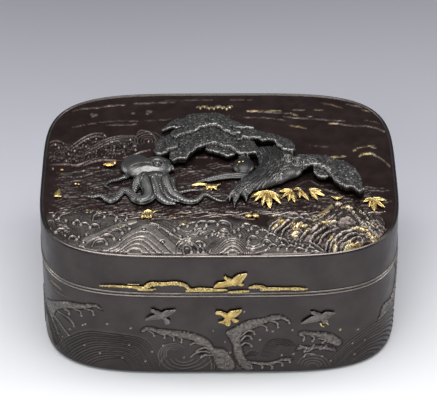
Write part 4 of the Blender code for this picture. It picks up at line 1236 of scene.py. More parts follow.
def lid():
    """The lid in two pieces that meet along a row of shared places: the finer front waves, and the rest."""
    rng = np.random.default_rng(3)
    xs = np.arange(-GRID_X, GRID_X + 0.01, STEP_ACROSS)
    in_front = LID_SEAM - STEP_IN_FRONT * np.arange(int((LID_SEAM + GRID_Y) / STEP_IN_FRONT), 0, -1)
    ys = np.concatenate([in_front, np.arange(LID_SEAM, GRID_Y + 0.1, STEP_BEHIND)])
    sheet = Sheet(xs, ys, ("worn", "water", "gilt", "mist", "shade", "pale"))
    water_lines(sheet, rng)
    far_waves(sheet, rng)
    front_waves(sheet, rng)
    rocks(sheet, rng)
    sky(sheet, rng)
    power = CORNER_POWER
    way = (np.abs(sheet.x / HALF_WIDTH) ** power + np.abs(sheet.y / HALF_DEPTH) ** power) ** (1 / power)
    slope_y, slope_x = np.gradient(way, sheet.ys, sheet.xs)
    inset = (1 - way) / np.hypot(slope_x, slope_y)
    under = np.zeros_like(inset)
    for other in (octopus_sheet, pine_sheet):
        rows = np.clip(np.searchsorted(other.ys, sheet.ys), 0, len(other.ys) - 1)
        columns = np.clip(np.searchsorted(other.xs, sheet.xs), 0, len(other.xs) - 1)
        across = (sheet.xs > other.xs[0]) & (sheet.xs < other.xs[-1])
        along = (sheet.ys > other.ys[0]) & (sheet.ys < other.ys[-1])
        depth = other.cover[np.ix_(rows, columns)]
        under = np.maximum(under, np.where(along[:, None] & across, ramp(depth, -0.5, 0.2), 0.0))
    rise = sheet.layers["form"] + sheet.layers["line"] - sheet.layers["cut"]
    rise = rise * (1 - under) * ramp(inset, FIELD_EDGE - 0.1, FIELD_EDGE + 0.5)
    rise = np.where(inset < FIELD_EDGE - 0.1, -0.05 - 0.3 * (FIELD_EDGE - 0.1 - inset), rise)
    bulge = rise - soften(rise, 8)
    # The field is brightened by rubbing on its crests, the tint of wear and painted highlight, the pale
    # rubbed ground and the mist streaks, and darkened by patina in recesses and by painted shade
    worn = np.clip(sheet.tints["worn"] * ramp(bulge, -0.08, 0.16), 0, 1)
    rough = soften(rng.standard_normal(rise.shape), 1)
    pale = sheet.tints["pale"] * np.clip(1 + 0.42 * rough, 0.2, 1.7)
    inner = ramp(inset, FIELD_EDGE + 0.1, FIELD_EDGE + 0.8)
    worn = np.clip(np.maximum(worn, pale) + sheet.tints["mist"], 0, 1) * inner
    hollow = np.clip(
        ramp(-bulge, 0.02, 0.2) + 0.9 * sheet.tints["shade"] * ramp(0.25 - bulge, 0.0, 0.2), 0, 1,
    )
    field = on_lid(sheet.x, sheet.y, rise)
    keep = np.logical_and.reduce(corners(inset > GRID_INSET))
    front = (sheet.ys[1:] < LID_SEAM + 0.01)[:, None]
    tints = {"worn": worn, "hollow": hollow, "water": sheet.tints["water"], "gilt": sheet.tints["gilt"]}

    def part_of_field(cells):
        used, numbers = numbered(cells)
        faces = np.stack(corners(numbers), axis=-1)[cells].tolist()
        return field[used], faces, {key: value[used] for key, value in tints.items()}

    make_piece("lid_waves", *part_of_field(keep & front), DARK, "dark_metal", ("lid",))
    points, faces, attributes = part_of_field(keep & ~front)
    profile = [
        (MIDDLE, CEILING),
        (LID_WALL + 0.4, CEILING),
        (LID_WALL, CEILING - 0.4),
        (LID_WALL, LID_BOTTOM + 0.15),
        (LID_WALL - 0.15, LID_BOTTOM),
        (0.1, LID_BOTTOM),
        *quarter(0.0, LID_BOTTOM + 0.4, 0.3, -80, 80),
        (0.06, LID_BOTTOM + 0.86),
        (0.04, LID_BOTTOM + 1.1),
        (0.0, LID_BOTTOM + 1.3),
        *[(0.0, height) for height in np.linspace(LID_BOTTOM + 2, LID_TOP - 1.3, 5)],
        *quarter(0.85, LID_TOP - 0.85, 0.85, 0, 90),
        (0.95, LID_TOP - 0.02),
        (FIELD_INSET, LID_TOP - 0.1),
        (FIELD_INSET + 0.15, FIELD_LEVEL + 0.06),
        (FIELD_EDGE + 0.05, FIELD_LEVEL - 0.04),
    ]
    shell = loft_points(profile, LID_ROUND).reshape(-1, 3)
    faces += band_faces(len(profile), LID_ROUND, len(points))
    start, centre = len(points), len(points) + len(shell)
    faces += [[centre, start + (k + 1) % LID_ROUND, start + k] for k in range(LID_ROUND)]
    heights = shell[:, 2]
    insets = np.repeat([inset for inset, _ in profile], LID_ROUND)
    outer = np.repeat(np.arange(len(profile)) > LAST_INNER_RING, LID_ROUND)
    bead = np.where(outer & (heights < LID_BOTTOM + SEAM_BEAD), 0.34, 0.0)
    # Painted highlight along the front of the rim's rounded edge and a painted reflection over its top, and
    # painted shade on the rest of the rim
    lit = ramp(-shell[:, 1], 30, 43) * ramp(insets, 0.25, 0.55)
    rim = np.where(outer & (heights > LID_TOP - 0.4), np.where(insets > 0.8, 0.25, 0.0) + 0.6 * lit, 0.0)
    painted_rim_shade = np.where(outer & (heights > LID_TOP - 0.5), 0.5 * (1 - lit), 0.0)
    groove = np.where(outer & (np.abs(heights - LID_BOTTOM - SEAM_GROOVE) < SEAM_GROOVE_HALF), 0.9, 0.0)
    zeros = np.zeros(len(shell) + 1)
    worn, hollow = np.append(np.maximum(bead, rim), 0.0), np.append(np.maximum(groove, painted_rim_shade), 0.0)
    extra = {"worn": worn, "hollow": hollow, "water": zeros, "gilt": zeros}
    attributes = {key: np.concatenate([value, extra[key]]) for key, value in attributes.items()}
    points = np.concatenate([points, shell, [[0.0, 0.0, CEILING]]])
    make_piece("lid", points, faces, attributes, DARK, "dark_metal", ("lid",))


def swell(sheet, outer, inner, bands):
    """Nested ridges between two curves. Each band lies between two shares of the way, after a groove."""
    for low, high, rise, worn in bands:
        gap = np.linalg.norm(offset_between(outer, inner, high) - offset_between(outer, inner, low), axis=1)
        ridge = spline(offset_between(outer, inner, (low + high) / 2), 0.7)
        sheet.stroke(ridge, 0.92 * gap, rise, flat_section, worn=worn, pale=0.55 + 0.4 * worn, shade=-0.8)
        groove = spline(offset_between(outer, inner, low), 0.7)
        sheet.groove(groove, (0.35, 0.5, 0.5, 0.35), 0.35, shade=0.9, pale=-0.5)


# Measured routes of the front waves: claws of foam, beads, the edge behind, and each swell's two curves
FRONT_CLAWS = (
    ((-41.6, -41.9), (-40.7, -39.1), (-39.2, -38), (-37.7, -38.2), (-36.8, -40.3)),
    ((-38.8, -36.5), (-37.5, -35.3), (-36, -35.4), (-35, -36.2), (-34.5, -37.6)),
    ((-36.1, -33.4), (-35, -32.3), (-33.5, -32.3), (-32.3, -33.2), (-31.9, -34.5)),
    ((-33.1, -31.2), (-32, -30.3), (-30.7, -30.5), (-30, -31.3), (-29.6, -32.2)),
    ((-41.8, -27.8), (-41.4, -25.1), (-40.1, -23.6), (-38.8, -24.1), (-38, -25.6)),
    ((-37.6, -25.1), (-36.7, -24), (-35.5, -23.9), (-34.5, -25), (-33.9, -26)),
    ((-33.3, -24.8), (-31.8, -24.7), (-30.6, -26)),
    ((-46, -28.5), (-46.8, -27.4), (-47.5, -27.8), (-48, -29.1)),
    ((-42.9, -30.2), (-43.8, -29.1), (-45, -29), (-45.6, -29.8)),
    ((-39.5, -31.9), (-39.8, -30.4), (-40.9, -29.7), (-42, -30.1), (-42.6, -31.4)),
    ((-49.9, -34.1), (-50.5, -32.7), (-51.8, -32.1), (-53, -32.5), (-53.6, -34)),
    ((-48.9, -22.6), (-50.6, -23.3), (-52.1, -24.5), (-53, -26.4)),
    ((-52.5, -22.1), (-53.7, -22.8), (-54.8, -25)),
    ((-49.3, -37.8), (-48.6, -36.3), (-47.4, -36.5), (-46.7, -38.1)),
    ((-10.7, -30.9), (-11.4, -30.1), (-12.5, -30.1), (-13.3, -31), (-13.6, -32.1)),
    ((-7.9, -28.9), (-9.1, -29), (-10.1, -29.8), (-10.5, -30.9)),
    ((-4.1, -28.3), (-6.1, -28.3), (-7.2, -29.1), (-7.6, -30.6)),
    ((-1, -29.6), (-1.4, -28.5), (-2.8, -28.3), (-4, -28.9), (-4.4, -30.5)),
    ((3.8, -32.1), (3.6, -30.1), (2.4, -28.6), (0.9, -28.1), (-0.2, -28.8), (-0.6, -30.1)),
    ((-3, -35), (-4, -35.9), (-4.4, -37)), ((-0.8, -33.2), (-1.9, -34), (-2.4, -35.3)),
    ((2.1, -37.7), (2.8, -36.3), (2.8, -34.3), (2.1, -33), (1.1, -32.8), (0.3, -33.4), (-0.3, -34.7)),
    (
        (-11.4, -46.6), (-11.9, -45), (-11.9, -42.9), (-11.2, -41.5), (-10.1, -41.9), (-9.3, -43.4),
        (-9.2, -45.1),
    ),
    ((-10.4, -40.5), (-8.8, -40.4), (-7.7, -41.6), (-7.1, -43.4), (-7.1, -45.3)),
    ((-6.8, -42.3), (-5.7, -42.9), (-5.3, -44.2), (-5.4, -45.3)),
    ((-7.9, -39.7), (-6.7, -39.2), (-5.4, -40.1), (-5, -41.2)),
    ((10, -30.3), (8.9, -29.8), (7.9, -30), (7.6, -30.8)),
    ((13.1, -32.2), (12.1, -31), (11, -31.1), (10.5, -32.3)), ((13.8, -33.1), (12.8, -33.5), (12.3, -34.4)),
    ((12.5, -38.2), (11.7, -36.8), (10.5, -36.6), (9.5, -37.6), (9.4, -39.2)),
    ((16.2, -34.8), (15.2, -33.7), (14.1, -33.1)),
    ((18.5, -36.4), (17.1, -35.4), (15.9, -35.6), (15.2, -36.8)),
    ((22.4, -40.8), (21.6, -38.9), (20.3, -37.8), (19.2, -37.9), (18.6, -38.7)),
    ((16.9, -41), (16.6, -39.7), (15.4, -38.6), (14.4, -39.1), (13.8, -41.6)),
    ((18.5, -41.9), (17.5, -41), (16.3, -41.6), (15.8, -43)),
    ((21.6, -42.2), (20.7, -41.3), (19.4, -41.9), (18.9, -43.6)),
    ((24.5, -42.4), (23.5, -41.6), (22.4, -42), (21.7, -43.6)),
    ((27.4, -44.1), (26.9, -43.5), (25.8, -43), (24.8, -43.5), (24.4, -45)),
    ((30.7, -43.3), (29.5, -42.6), (28.3, -43.3), (28, -44.2)), ((32.2, -45.2), (30.9, -44.6), (30, -45.3)),
)

FRONT_BEADS = (
    (-34.2, -28), (-30.9, -27.9), (-24.8, -33), (-20, -32), (-18.6, -40), (-12.9, -37), (-6.2, -35.4),
    (-6.4, -42.2), (-3.2, -45), (-33.3, -45.8), (-32.6, -38.7), (6.6, -36.6), (-1.8, -34.2), (24.8, -41),
    (27, -42), (29.3, -42), (-46, -37), (-43.6, -35.8), (-39.4, -44.8), (-50.6, -28), (-8, -33.4),
    (-10.4, -36.9), (-14.8, -33.6), (-16.2, -35.4), (4.8, -34.6), (6.2, -33), (-44.4, -40), (-54.6, -36),
    (-52, -39.6), (9.4, -33.8), (20.2, -40.6), (-5, -32.6),
)

FRONT_EDGE = (
    (-60, -24), (-55, -24), (-45, -23), (-35, -24), (-28, -27), (-20, -27.5), (-10, -26.5), (0, -26.5),
    (8, -28), (14, -31), (20, -35), (26, -38), (32, -42), (35, -45), (37, -52),
)

SWELL_LEFT = (
    (
        (-39.6, -45.9), (-37.6, -42.9), (-35.4, -42), (-33.9, -40), (-32.2, -37.4), (-29.8, -34.5),
        (-27.3, -32), (-24.3, -30.5), (-21.5, -31.4), (-19.3, -34.1), (-17.2, -37.1), (-15.2, -40),
        (-13.4, -42.9), (-11.7, -45.8),
    ),
    ((-30.9, -47.2), (-29.6, -45), (-27.8, -43.9), (-26, -44.6), (-24.6, -47)),
)

SWELL_MIDDLE = (
    (
        (-3.4, -46.5), (-1.2, -43), (1.1, -39.3), (3.1, -37.7), (4.9, -37.5), (6.9, -39.3), (8.6, -42.2),
        (9.8, -46.4),
    ),
    ((1.9, -46.9), (3, -45.5), (4.2, -44.9), (5.3, -45.7), (6, -47)),
)


def front_waves(sheet, rng):
    """Two ridged swells at the front edge, with thin claws of foam and engraved water beside them."""
    edge_x, edge_y = np.array(FRONT_EDGE).T
    in_front = ramp(np.interp(sheet.x, edge_x, edge_y) - sheet.y + 0.5 * np.sin(0.9 * sheet.x), -1.2, 1.6)
    for layer in ("line", "cut"):
        sheet.layers[layer] *= 1 - 0.75 * in_front
    sheet.layers["form"] += in_front * (0.35 + 0.015 * rng.standard_normal(sheet.x.shape))
    sheet.tints["worn"] *= 1 - 0.8 * in_front
    depth = ramp(np.interp(sheet.x, edge_x, edge_y) - sheet.y, 0, 8)
    veil = np.interp(sheet.x, (-54, -44, -34), (0.2, 0.36, 0.54))
    sheet.tints["pale"][:] = (1 - in_front) * sheet.tints["pale"] + in_front * (0.55 + 0.45 * depth) * veil
    sheet.tints["water"][:] = 1 - 0.62 * in_front

    stem = spline(((-45.5, -43), (-43, -38), (-39.5, -35.5), (-36, -32.5), (-32.5, -30.3), (-28, -28.2)))
    sheet.stroke(stem, (2.4, 3.2, 3.0, 2.2), 0.3, flat_section, pale=0.85)
    for first, second, count, lit in (
        (
            ((-24, -27), (-19, -27.6), (-15, -30.5), (-11.5, -33.5), (-8, -35)),
            ((-22.9, -29.5), (-20.3, -30.7), (-17.8, -33.3), (-14.5, -37.1), (-12.2, -38.8)), 6, 0.7,
        ),
        (
            ((-14, -33.5), (-10, -33.8), (-6, -32), (-2, -31)),
            ((-12, -38.6), (-8, -37.6), (-5, -36.5), (-2.5, -34)), 6, 0.6,
        ),
        (
            ((2.8, -36.8), (0.2, -39.4), (-2, -42.6), (-3.6, -45.6)),
            ((-0.6, -37), (-2.8, -39.6), (-4.4, -42.5), (-5, -45.8)), 5, 0.8,
        ),
        (
            ((14, -34), (19, -38), (25, -41), (31, -43.5)),
            ((20, -33), (24, -36.5), (29, -39.5), (33.5, -44.5)), 5, 0.6,
        ),
        (((-57, -25), (-54.5, -33), (-50, -40.5)), ((-46, -26), (-45.5, -34), (-44.5, -43.5)), 13, 0.5),
        (((-41.5, -27), (-41, -33), (-43.5, -38)), ((-29, -27), (-34, -30), (-39, -34)), 8, 0.4),
        (
            ((4, -30), (5, -34), (8, -38), (11, -41)), ((9, -29.5), (11, -33), (12.5, -36.5), (15.5, -39.5)),
            6, 0.5,
        ),
        (((-34, -31.5), (-32.5, -34), (-32.4, -37)), ((-29, -31), (-28.6, -33), (-30, -34.8)), 4, 0.4),
    ):
        engraved(sheet, rng, first, second, count, 0.7 * lit)
    swell(
        sheet, *SWELL_LEFT,
        (
            (0.0, 0.3, 0.45, 0.8), (0.3, 0.52, 0.5, 0.85), (0.52, 0.66, 0.7, 1.0), (0.66, 0.82, 0.5, 0.85),
            (0.82, 1.0, 0.6, 1.0),
        ),
    )
    swell(
        sheet, *SWELL_MIDDLE,
        (
            (0.0, 0.16, 0.4, 0.8), (0.16, 0.32, 0.4, 0.75), (0.32, 0.5, 0.45, 0.75), (0.5, 0.76, 0.7, 1.0),
            (0.76, 1.0, 0.5, 0.9),
        ),
    )
    for path, width in (
        (
            ((-22.9, -29.5), (-20.3, -30.7), (-17.8, -33.3), (-14.5, -37.1), (-12.2, -38.8), (-9.6, -39.2)),
            0.7,
        ),
        (((25.2, -39.2), (26.8, -38.9), (28.5, -39.2), (30.1, -40.3), (31.9, -42.5), (33.5, -44.6)), 0.8),
        (((8.2, -42.6), (10.6, -43.9), (12.8, -42.9), (14.6, -41.2)), 0.6),
        (((9, -41.2), (10.8, -42.6), (12.4, -41.8), (13.4, -40.4)), 0.5),
        (((8.9, -45.8), (11.2, -46.4), (14, -45.2), (15.6, -43.6)), 0.6),
    ):
        # A bright raised line with a groove of painted shadow in front of it
        line = spline(path, 0.5)
        sheet.stroke(line, (0.4, width, 0.4), 0.6, worn=1.0)
        sheet.groove(line - (0, 0.75), (0.3, 0.55, 0.3), 0.3, shade=0.9)
    # Bright arcs, each with a groove of painted shade inside it
    for radius in (2.6, 3.6, 4.6):
        sheet.stroke(arc((-10.2, -44.6), radius, 196, 80, 1.5), (0.4, 0.6, 0.4), 0.5, worn=0.8)
        sheet.groove(arc((-10.2, -44.6), radius - 0.5, 196, 80, 1.5), (0.3, 0.5, 0.3), 0.3, shade=0.8)
    for radius in (1.2, 2.2, 3.2):
        sheet.stroke(arc((1, -38.4), radius, 140, -60, 1.4), (0.4, 0.5, 0.4), 0.45, worn=0.8)
    filler(sheet, rng, (-53.5, -33), (4.6, 7), 18, (0.7, 1.3), 0.4, 0.8)
    claws(sheet, FRONT_CLAWS, 0.82, 0.5, 1.0, (0.56, 0.85), 0.9)
    # Sunken rings of painted shade round the beads of spray
    for x, y in FRONT_BEADS:
        sheet.dome((x, y), (0.95, 1.2), 0.2, layer="cut", shade=0.8)
    drops(sheet, FRONT_BEADS, 0.46, 0.8, worn=1.0, shade=-1.0)


def far_waves(sheet, rng):
    """Low waves at the left with spirals and spray."""
    for route, shares, centre, worn in (
        (
            (
                (-52.3, 13.1), (-49.6, 16.8), (-47.2, 19.8), (-44.3, 22.5), (-41.3, 23.5), (-39.3, 22.5),
                (-38.8, 20.9),
            ),
            (1, 0.84), (-43.5, 12), 0.5,
        ),
        (
            (
                (-46.9, 12.3), (-42.7, 16), (-39, 19.4), (-34.7, 21.3), (-31.3, 21.6), (-28.7, 21.2),
                (-27.9, 18.2), (-28.6, 15.2),
            ),
            (1.0, 0.88, 0.76), (-34, 11), 0.5,
        ),
        (
            ((-28.3, 22.6), (-27, 24.9), (-24.9, 24.3), (-23.1, 22.7), (-22, 20.4), (-21.3, 18.6)), (1.0,),
            (-24.1, 18.6), 0.6,
        ),
        (((-58.7, 17.6), (-56.6, 18.8), (-54.4, 18.4), (-52.9, 16.9)), (1, 0.7), (-56, 12), 0.3),
        (
            (
                (-58.1, 4.6), (-51.7, 4.8), (-48.3, 4.4), (-45.8, 5.6), (-42.9, 7.6), (-39.5, 8.6),
                (-36.1, 9.1),
            ),
            (1.0,), (0, 0), 0.45,
        ),
        (((-32.7, 8.7), (-29.3, 10), (-26.4, 12.1), (-23.4, 13.3)), (1.0,), (0, 0), 0.7),
        (((-46, 4.4), (-42.9, 6.4), (-39.5, 7.4), (-35, 7.6)), (1.0,), (0, 0), 0.25),
    ):
        for share in shares:
            path = drawn_in(route, centre, share)
            sheet.stroke(path, (0.4, 0.7, 0.4), (0.35, 0.5, 0.35), worn=1.5 * worn * (0.5 + 0.5 * share))
    for radius in (4.8, 3.6, 2.5, 1.5):
        sheet.stroke(arc((-24.3, 18.4), radius, 215, -20, 1.2), (0.4, 0.6, 0.4), 0.35, worn=0.5)
    for x, y in (
        (-45.1, 9.7), (-37, 10.4), (-47.6, 8.6), (-49.5, 6.8), (-52.1, 13.3), (-54.5, 10.9), (-37.6, 14.5),
        (-33.7, 16),
    ):
        for radius in (1.7, 0.9):
            sheet.stroke(arc((x, y), radius, 200, -20, 1.3), (0.3, 0.5, 0.3), 0.35, worn=0.6)
    line = spline(((-50, 3.4), (-46, 4.2), (-42.9, 6), (-39, 7.2), (-33, 7.4), (-29, 8.8)))
    sheet.groove(line - (0, 0.7), 0.7, 0.3, shade=0.8)
    filler(sheet, rng, (-34.5, 14), (7.5, 4.6), 52, (0.5, 1.2), 0.3, 0.62)
    filler(sheet, rng, (-49.5, 10.5), (8, 6.5), 80, (0.5, 1.3), 0.3, 0.6)
    filler(sheet, rng, (-43.5, 17), (4, 4), 22, (0.5, 1.2), 0.3, 0.6)
    places = (
        (-49.3, 12.7), (-51.4, 10.9), (-51.9, 6.6), (-41.9, 12.7), (-42.2, 19.8), (-36.6, 17.9),
        (-30.4, 19.4), (-35.8, 13), (-28.5, 13.3), (-56.3, 2.2), (-39.5, 21.7), (-45.5, 15.3), (-46.6, 16.2),
        (-56.1, 16.5), (-54.9, 14.8), (-35.9, 15.3), (-32.4, 15.2), (-24.1, 18.2),
    )
    drops(sheet, places, 0.4, 0.6, worn=1.0)
    drops(sheet, [(rng.uniform(-57, -29), rng.uniform(6, 18)) for _ in range(26)], 0.28, 0.45, worn=0.8)


def water_lines(sheet, rng):
    """Long flat ripples between the waves and the figures."""
    for row in np.arange(-28.5, 3.0, 0.9):
        start = -57.5 + rng.uniform(0, 4)
        while start < (46.0 if row < -12 else 14.0 if row < -4 else 8.0):
            length = rng.uniform(5, 17)
            x = np.linspace(start, start + length, 26)
            tilt = 0.14 * np.clip(-30 - x, -30, 30) * -0.6
            y = row + 0.6 * np.sin(x * 0.3 + 0.6 * row) + 0.3 * np.sin(x * 0.8 + row)
            y = y + 0.12 * np.sin(x * 1.9 + 3 * row) + tilt
            amount = rng.uniform(0.2, 0.8) * (1.6 if row < -12 else 1.4)
            sheet.ridge(np.stack([x, y], -1), (0.15, 0.55, 0.6, 0.15), 0.28, worn=amount, pale=0.36 * amount)
            start += length + rng.uniform(0.5, 3)
    for route, width, worn in (
        (((-50, -3.4), (-45, -1.6), (-41.9, 0.3), (-38.6, 1.6)), 0.8, 0.5),
        (((-47, 3.6), (-42.7, 2.8), (-38.9, 3.5)), 0.6, 0.4),
        (((-47.3, 0.3), (-43.6, 2.5), (-40.6, 2.6)), 0.7, 0.45),
        (((-46, -12.6), (-43.4, -11.2), (-41, -12.2)), 0.7, 0.5),
        (((-12.4, 0), (-9.5, 0.4), (-6.9, 0.1)), 0.6, 0.6), (((-13, 1.8), (-11.5, 1.6), (-8, 2)), 0.5, 0.35),
        (((-15.8, 3.1), (-12.4, 6.4), (-8.4, 8.6), (-6, 8.9), (-3.4, 8.6), (-1.3, 8)), 0.7, 0.6),
        (
            (
                (23.4, -12), (25.4, -8.4), (30, -5), (32.2, -6.6), (34, -7.8), (38, -7.8), (41, -10.4),
                (44, -12.6), (48, -14.4),
            ),
            0.55, 0.5,
        ),
        (((31, 15.8), (36, 15), (39, 15.2)), 0.6, 0.3),
    ):
        sheet.ridge(spline(route), (0.3, width, 0.3), 0.4, worn=worn, pale=0.5 * worn)
    for centre, radii, amount in (
        ((-12.6, -29.2), (2.4, 0.9), 0.7), ((-10.6, -28.6), (0.8, 0.6), 1.0),
        ((-14.4, -25.6), (2.6, 0.9), 0.4), ((-42, -22), (2.4, 1), 0.5), ((-33, -31), (0.4, 0.7), 1.0),
        ((-51, -28.2), (0.5, 0.6), 0.9),
    ):
        for _ in range(int(7 * radii[0])):
            at = (centre[0] + radii[0] * rng.uniform(-1, 1), centre[1] + radii[1] * rng.uniform(-1, 1))
            sheet.dome(at, (0.32, 0.5), 0.4, gilt=amount)


# The rocks: mounds with centre, radii and rise, and ridges with route, width and rise
ROCK_FORMS = (
    ((20.5, -30.6), (5.4, 5), 1.4), ((27.6, -34), (8.2, 6.4), 2.1), ((41.5, -27), (7.6, 6.6), 2.6),
    ((49.4, -31.6), (5.2, 7.2), 1.95), ((41, -38), (9.4, 7), 2.2),
)

ROCK_RIDGES = (
    (((21.5, -24.5), (18, -28), (15.5, -33)), 1.0, 0.5),
    (((23.5, -25.5), (20.5, -29), (17.5, -34.5)), 1.3, 0.8),
    (((26, -25.5), (23, -29), (20.5, -33.5), (19.8, -37)), 1.1, 0.7),
    (((28, -26.5), (25, -30), (22.5, -35)), 1.4, 0.8), (((30, -31), (27.5, -34), (26, -38)), 1.2, 0.7),
    (((38, -27), (33, -28.5), (30, -31.5), (27.5, -34.5)), 1.5, 0.9),
    (((38.5, -29), (34, -31), (31, -34.5), (28.8, -38)), 1.2, 0.8),
    (((39, -31), (35.5, -33), (33, -37), (31.5, -41)), 1.2, 0.8),
    (((37.6, -33.8), (36, -36.5), (34.5, -41), (34, -44)), 1.1, 0.8),
    (((26.5, -35.5), (24, -38), (23, -40.5)), 0.9, 0.5),
    (((17.5, -24), (21, -23), (26, -23.3), (31, -24.8), (33.5, -25.2), (35.4, -23), (37.8, -19)), 1.0, 0.8),
    (((20, -24.6), (25, -25.6), (29, -26), (33, -27), (36, -26), (38.4, -22.6)), 0.9, 0.6),
    (((44, -18), (46, -21), (49, -26), (52, -31), (55, -36)), 1.1, 0.8),
    (((46.5, -20), (48.5, -23), (52.5, -29), (56, -34.5)), 0.9, 0.6),
    (((50, -27), (54, -32), (56.2, -35)), 0.7, 0.4),
    (((42.6, -20), (44.6, -24), (47.5, -28.5), (50.5, -33), (53, -38.5)), 1.8, 1.0),
    (((41.4, -29), (44.6, -29.4), (47, -31)), 1.0, 0.5),
    (((35.5, -46), (36.3, -39), (39.5, -34), (44.5, -31.5), (49, -33), (52.2, -37.5), (51.5, -43)), 1.5, 0.9),
    (((37.5, -46), (38.3, -40), (41, -36), (44.5, -34.2), (47.8, -35.6), (50, -39), (49.8, -44)), 1.0, 0.7),
    (((39.2, -46), (40, -41), (42.5, -37.6), (45, -36.8), (47.3, -39), (48, -44)), 0.9, 0.6),
)

# Boulders with centre, radii, rise and how much they are rubbed and gilt, and gilt strokes
ROCK_BOULDERS = (
    ((41.6, -43.2), (1.6, 2.4), 1.0, 1.0, 1.0), ((45.4, -40.6), (1.8, 2.8), 0.8, 0.9, 0.3),
    ((46.6, -44.4), (1.5, 1.6), 0.7, 0.8, 0.2), ((37.4, -41.8), (0.9, 2), 0.7, 1.0, 0.5),
    ((42, -26), (3.2, 3.8), 0.9, 0.35, 0.0), ((42.4, -19.2), (2.3, 1.6), 0.8, 1.0, 0.75),
    ((39.6, -17.2), (1.4, 1.1), 0.5, 0.6, 0.2), ((24.6, -33.6), (1.6, 2), 0.5, 0.7, 0.4),
)

ROCK_GILT = (
    (((20.6, -26.4), (18.8, -29.2), (17.4, -31.4)), 1.5, 1.0),
    (((24.2, -32.6), (26, -30.2), (28.4, -29.6)), 2.2, 0.8),
    (((30, -30.4), (28.4, -33), (27.4, -34.6)), 1.1, 1.0),
    (((30.6, -29.4), (34, -28), (38.4, -27.4)), 1.5, 0.75),
    (((32.6, -24.6), (35, -22.4), (37.6, -18.6)), 1.9, 1.0), (((45.2, -20.6), (46.8, -22.6)), 1.6, 1.0),
    (((43, -20.6), (44.4, -22.8)), 1.2, 0.6), (((41.4, -33.2), (44.6, -31.6), (48.4, -32.6)), 1.9, 0.85),
    (((48, -34.6), (50, -36.6), (51.6, -39.6)), 1.6, 0.8), (((35.6, -38.6), (37, -36.4)), 1.5, 0.7),
    (((44.4, -38), (45.8, -40.6), (46.4, -43)), 1.0, 0.6), (((47.6, -27.2), (50.6, -30.6)), 0.9, 0.5),
    (((17.8, -24.6), (20, -23.6)), 1.0, 0.5), (((50.6, -36), (52.4, -40)), 0.9, 0.5),
    (((37.6, -40), (38.8, -38)), 0.9, 0.7), (((33.2, -23.4), (35.6, -22), (37.6, -20.2)), 1.7, 0.8),
    (((19.6, -26), (20.6, -27.6), (20.8, -29.6)), 1.9, 0.9),
    (((24.6, -27.4), (24, -30), (25, -32)), 1.8, 0.55), (((41.4, -39), (43.6, -40.6), (42.6, -42)), 1.8, 0.8),
    (((28, -26.6), (30, -27.4), (31.6, -27)), 0.8, 0.7),
    (((43, -31.2), (46, -30.4), (48.6, -31.6)), 0.9, 0.6),
    (((45, -19.4), (46.8, -22.4), (49.4, -26.4)), 0.7, 0.5), (((50.6, -34.4), (52.6, -37)), 0.9, 0.6),
)


def rocks(sheet, rng):
    """Furrowed rocks at the right, rubbed along their ridges and gilt in patches."""
    before = sheet.layers["form"].copy()
    for centre, radii, rise in ROCK_FORMS:
        sheet.dome(centre, radii, rise, lumps=0.04, power=0.7, layer="form")
    stone = ramp(sheet.layers["form"] - before, 0.05, 0.5)
    fine, broad = (soften(rng.standard_normal(stone.shape), passes) for passes in (4, 14))
    sheet.layers["form"] += stone * (0.5 * fine + 0.7 * broad)
    sheet.layers["line"] *= 1 - stone
    for name, fade, least in (
        ("worn", 0.8, 0.2), ("shade", 1.0, 0.0), ("pale", 1.0, 0.16), ("water", 0.0, 0.7),
    ):
        sheet.tints[name][:] = np.maximum(sheet.tints[name] * (1 - fade * stone), least * stone)
    for first, second, count, rise in (
        (((20, -25), (16, -30), (15, -35)), ((38, -29), (32, -34), (31, -42)), 22, 0.22),
        (((38, -31), (35, -37), (34, -44)), ((42, -33), (39.4, -38), (39, -45)), 7, 0.22),
        (((44, -20), (48, -28), (52, -36)), ((50, -24), (54, -30), (56.5, -35)), 9, 0.2),
    ):
        combed(sheet, rng, seen(sheet, first), seen(sheet, second), count, rise)
    for route, width, rise in ROCK_RIDGES:
        path = seen(sheet, spline(route), rise)
        path += 0.16 * np.sin(np.arange(len(path)) * 0.9 + route[0][0])[:, None]
        path[:, 1] += 0.35 * np.sin(np.arange(len(path)) * 0.45 + 2 * route[0][1])
        widths = (0.6 * width, 1.3 * width, 1.1 * width, 0.5 * width)
        sheet.ridge(path, widths, (0.5 * rise, rise, 0.6 * rise), worn=0.36 + 0.32 * rise, pale=0.27)
        # A groove along the lower right of each ridge, with shade painted in it
        sheet.groove(
            path + (0.6 * width + 0.2) * np.array((0.75, -0.55)), (0.3, 0.9, 0.5), (0.5, 0.7, 0.4),
            shade=0.75,
        )
    for centre, radii, rise, worn, gilt in ROCK_BOULDERS:
        at = seen(sheet, [centre], rise)[0]
        # A sunken ring of painted shadow round each boulder's lower side, cleared under the boulder
        sheet.dome(at - (0, 0.5), (radii[0] + 0.6, radii[1] + 0.6), 0.7, layer="cut", power=0.3, shade=0.9)
        where = sheet.window(at[0] - radii[0], at[0] + radii[0], at[1] - 0.8 * radii[1], at[1] + radii[1])
        sheet.tints["shade"][where] *= 0.25
        sheet.dome(at, radii, rise + 0.5, lumps=0.06, worn=worn, gilt=gilt)
    for route, width, amount in ROCK_GILT:
        path = seen(sheet, spline(route), 0.4)
        sheet.stroke(path, (0.5 * width, width, 0.6 * width), 0.3, gilt=amount, worn=0.8)


# How far to the front of their routes the streaks in the sky lie
SKY_SHIFT = 3.6

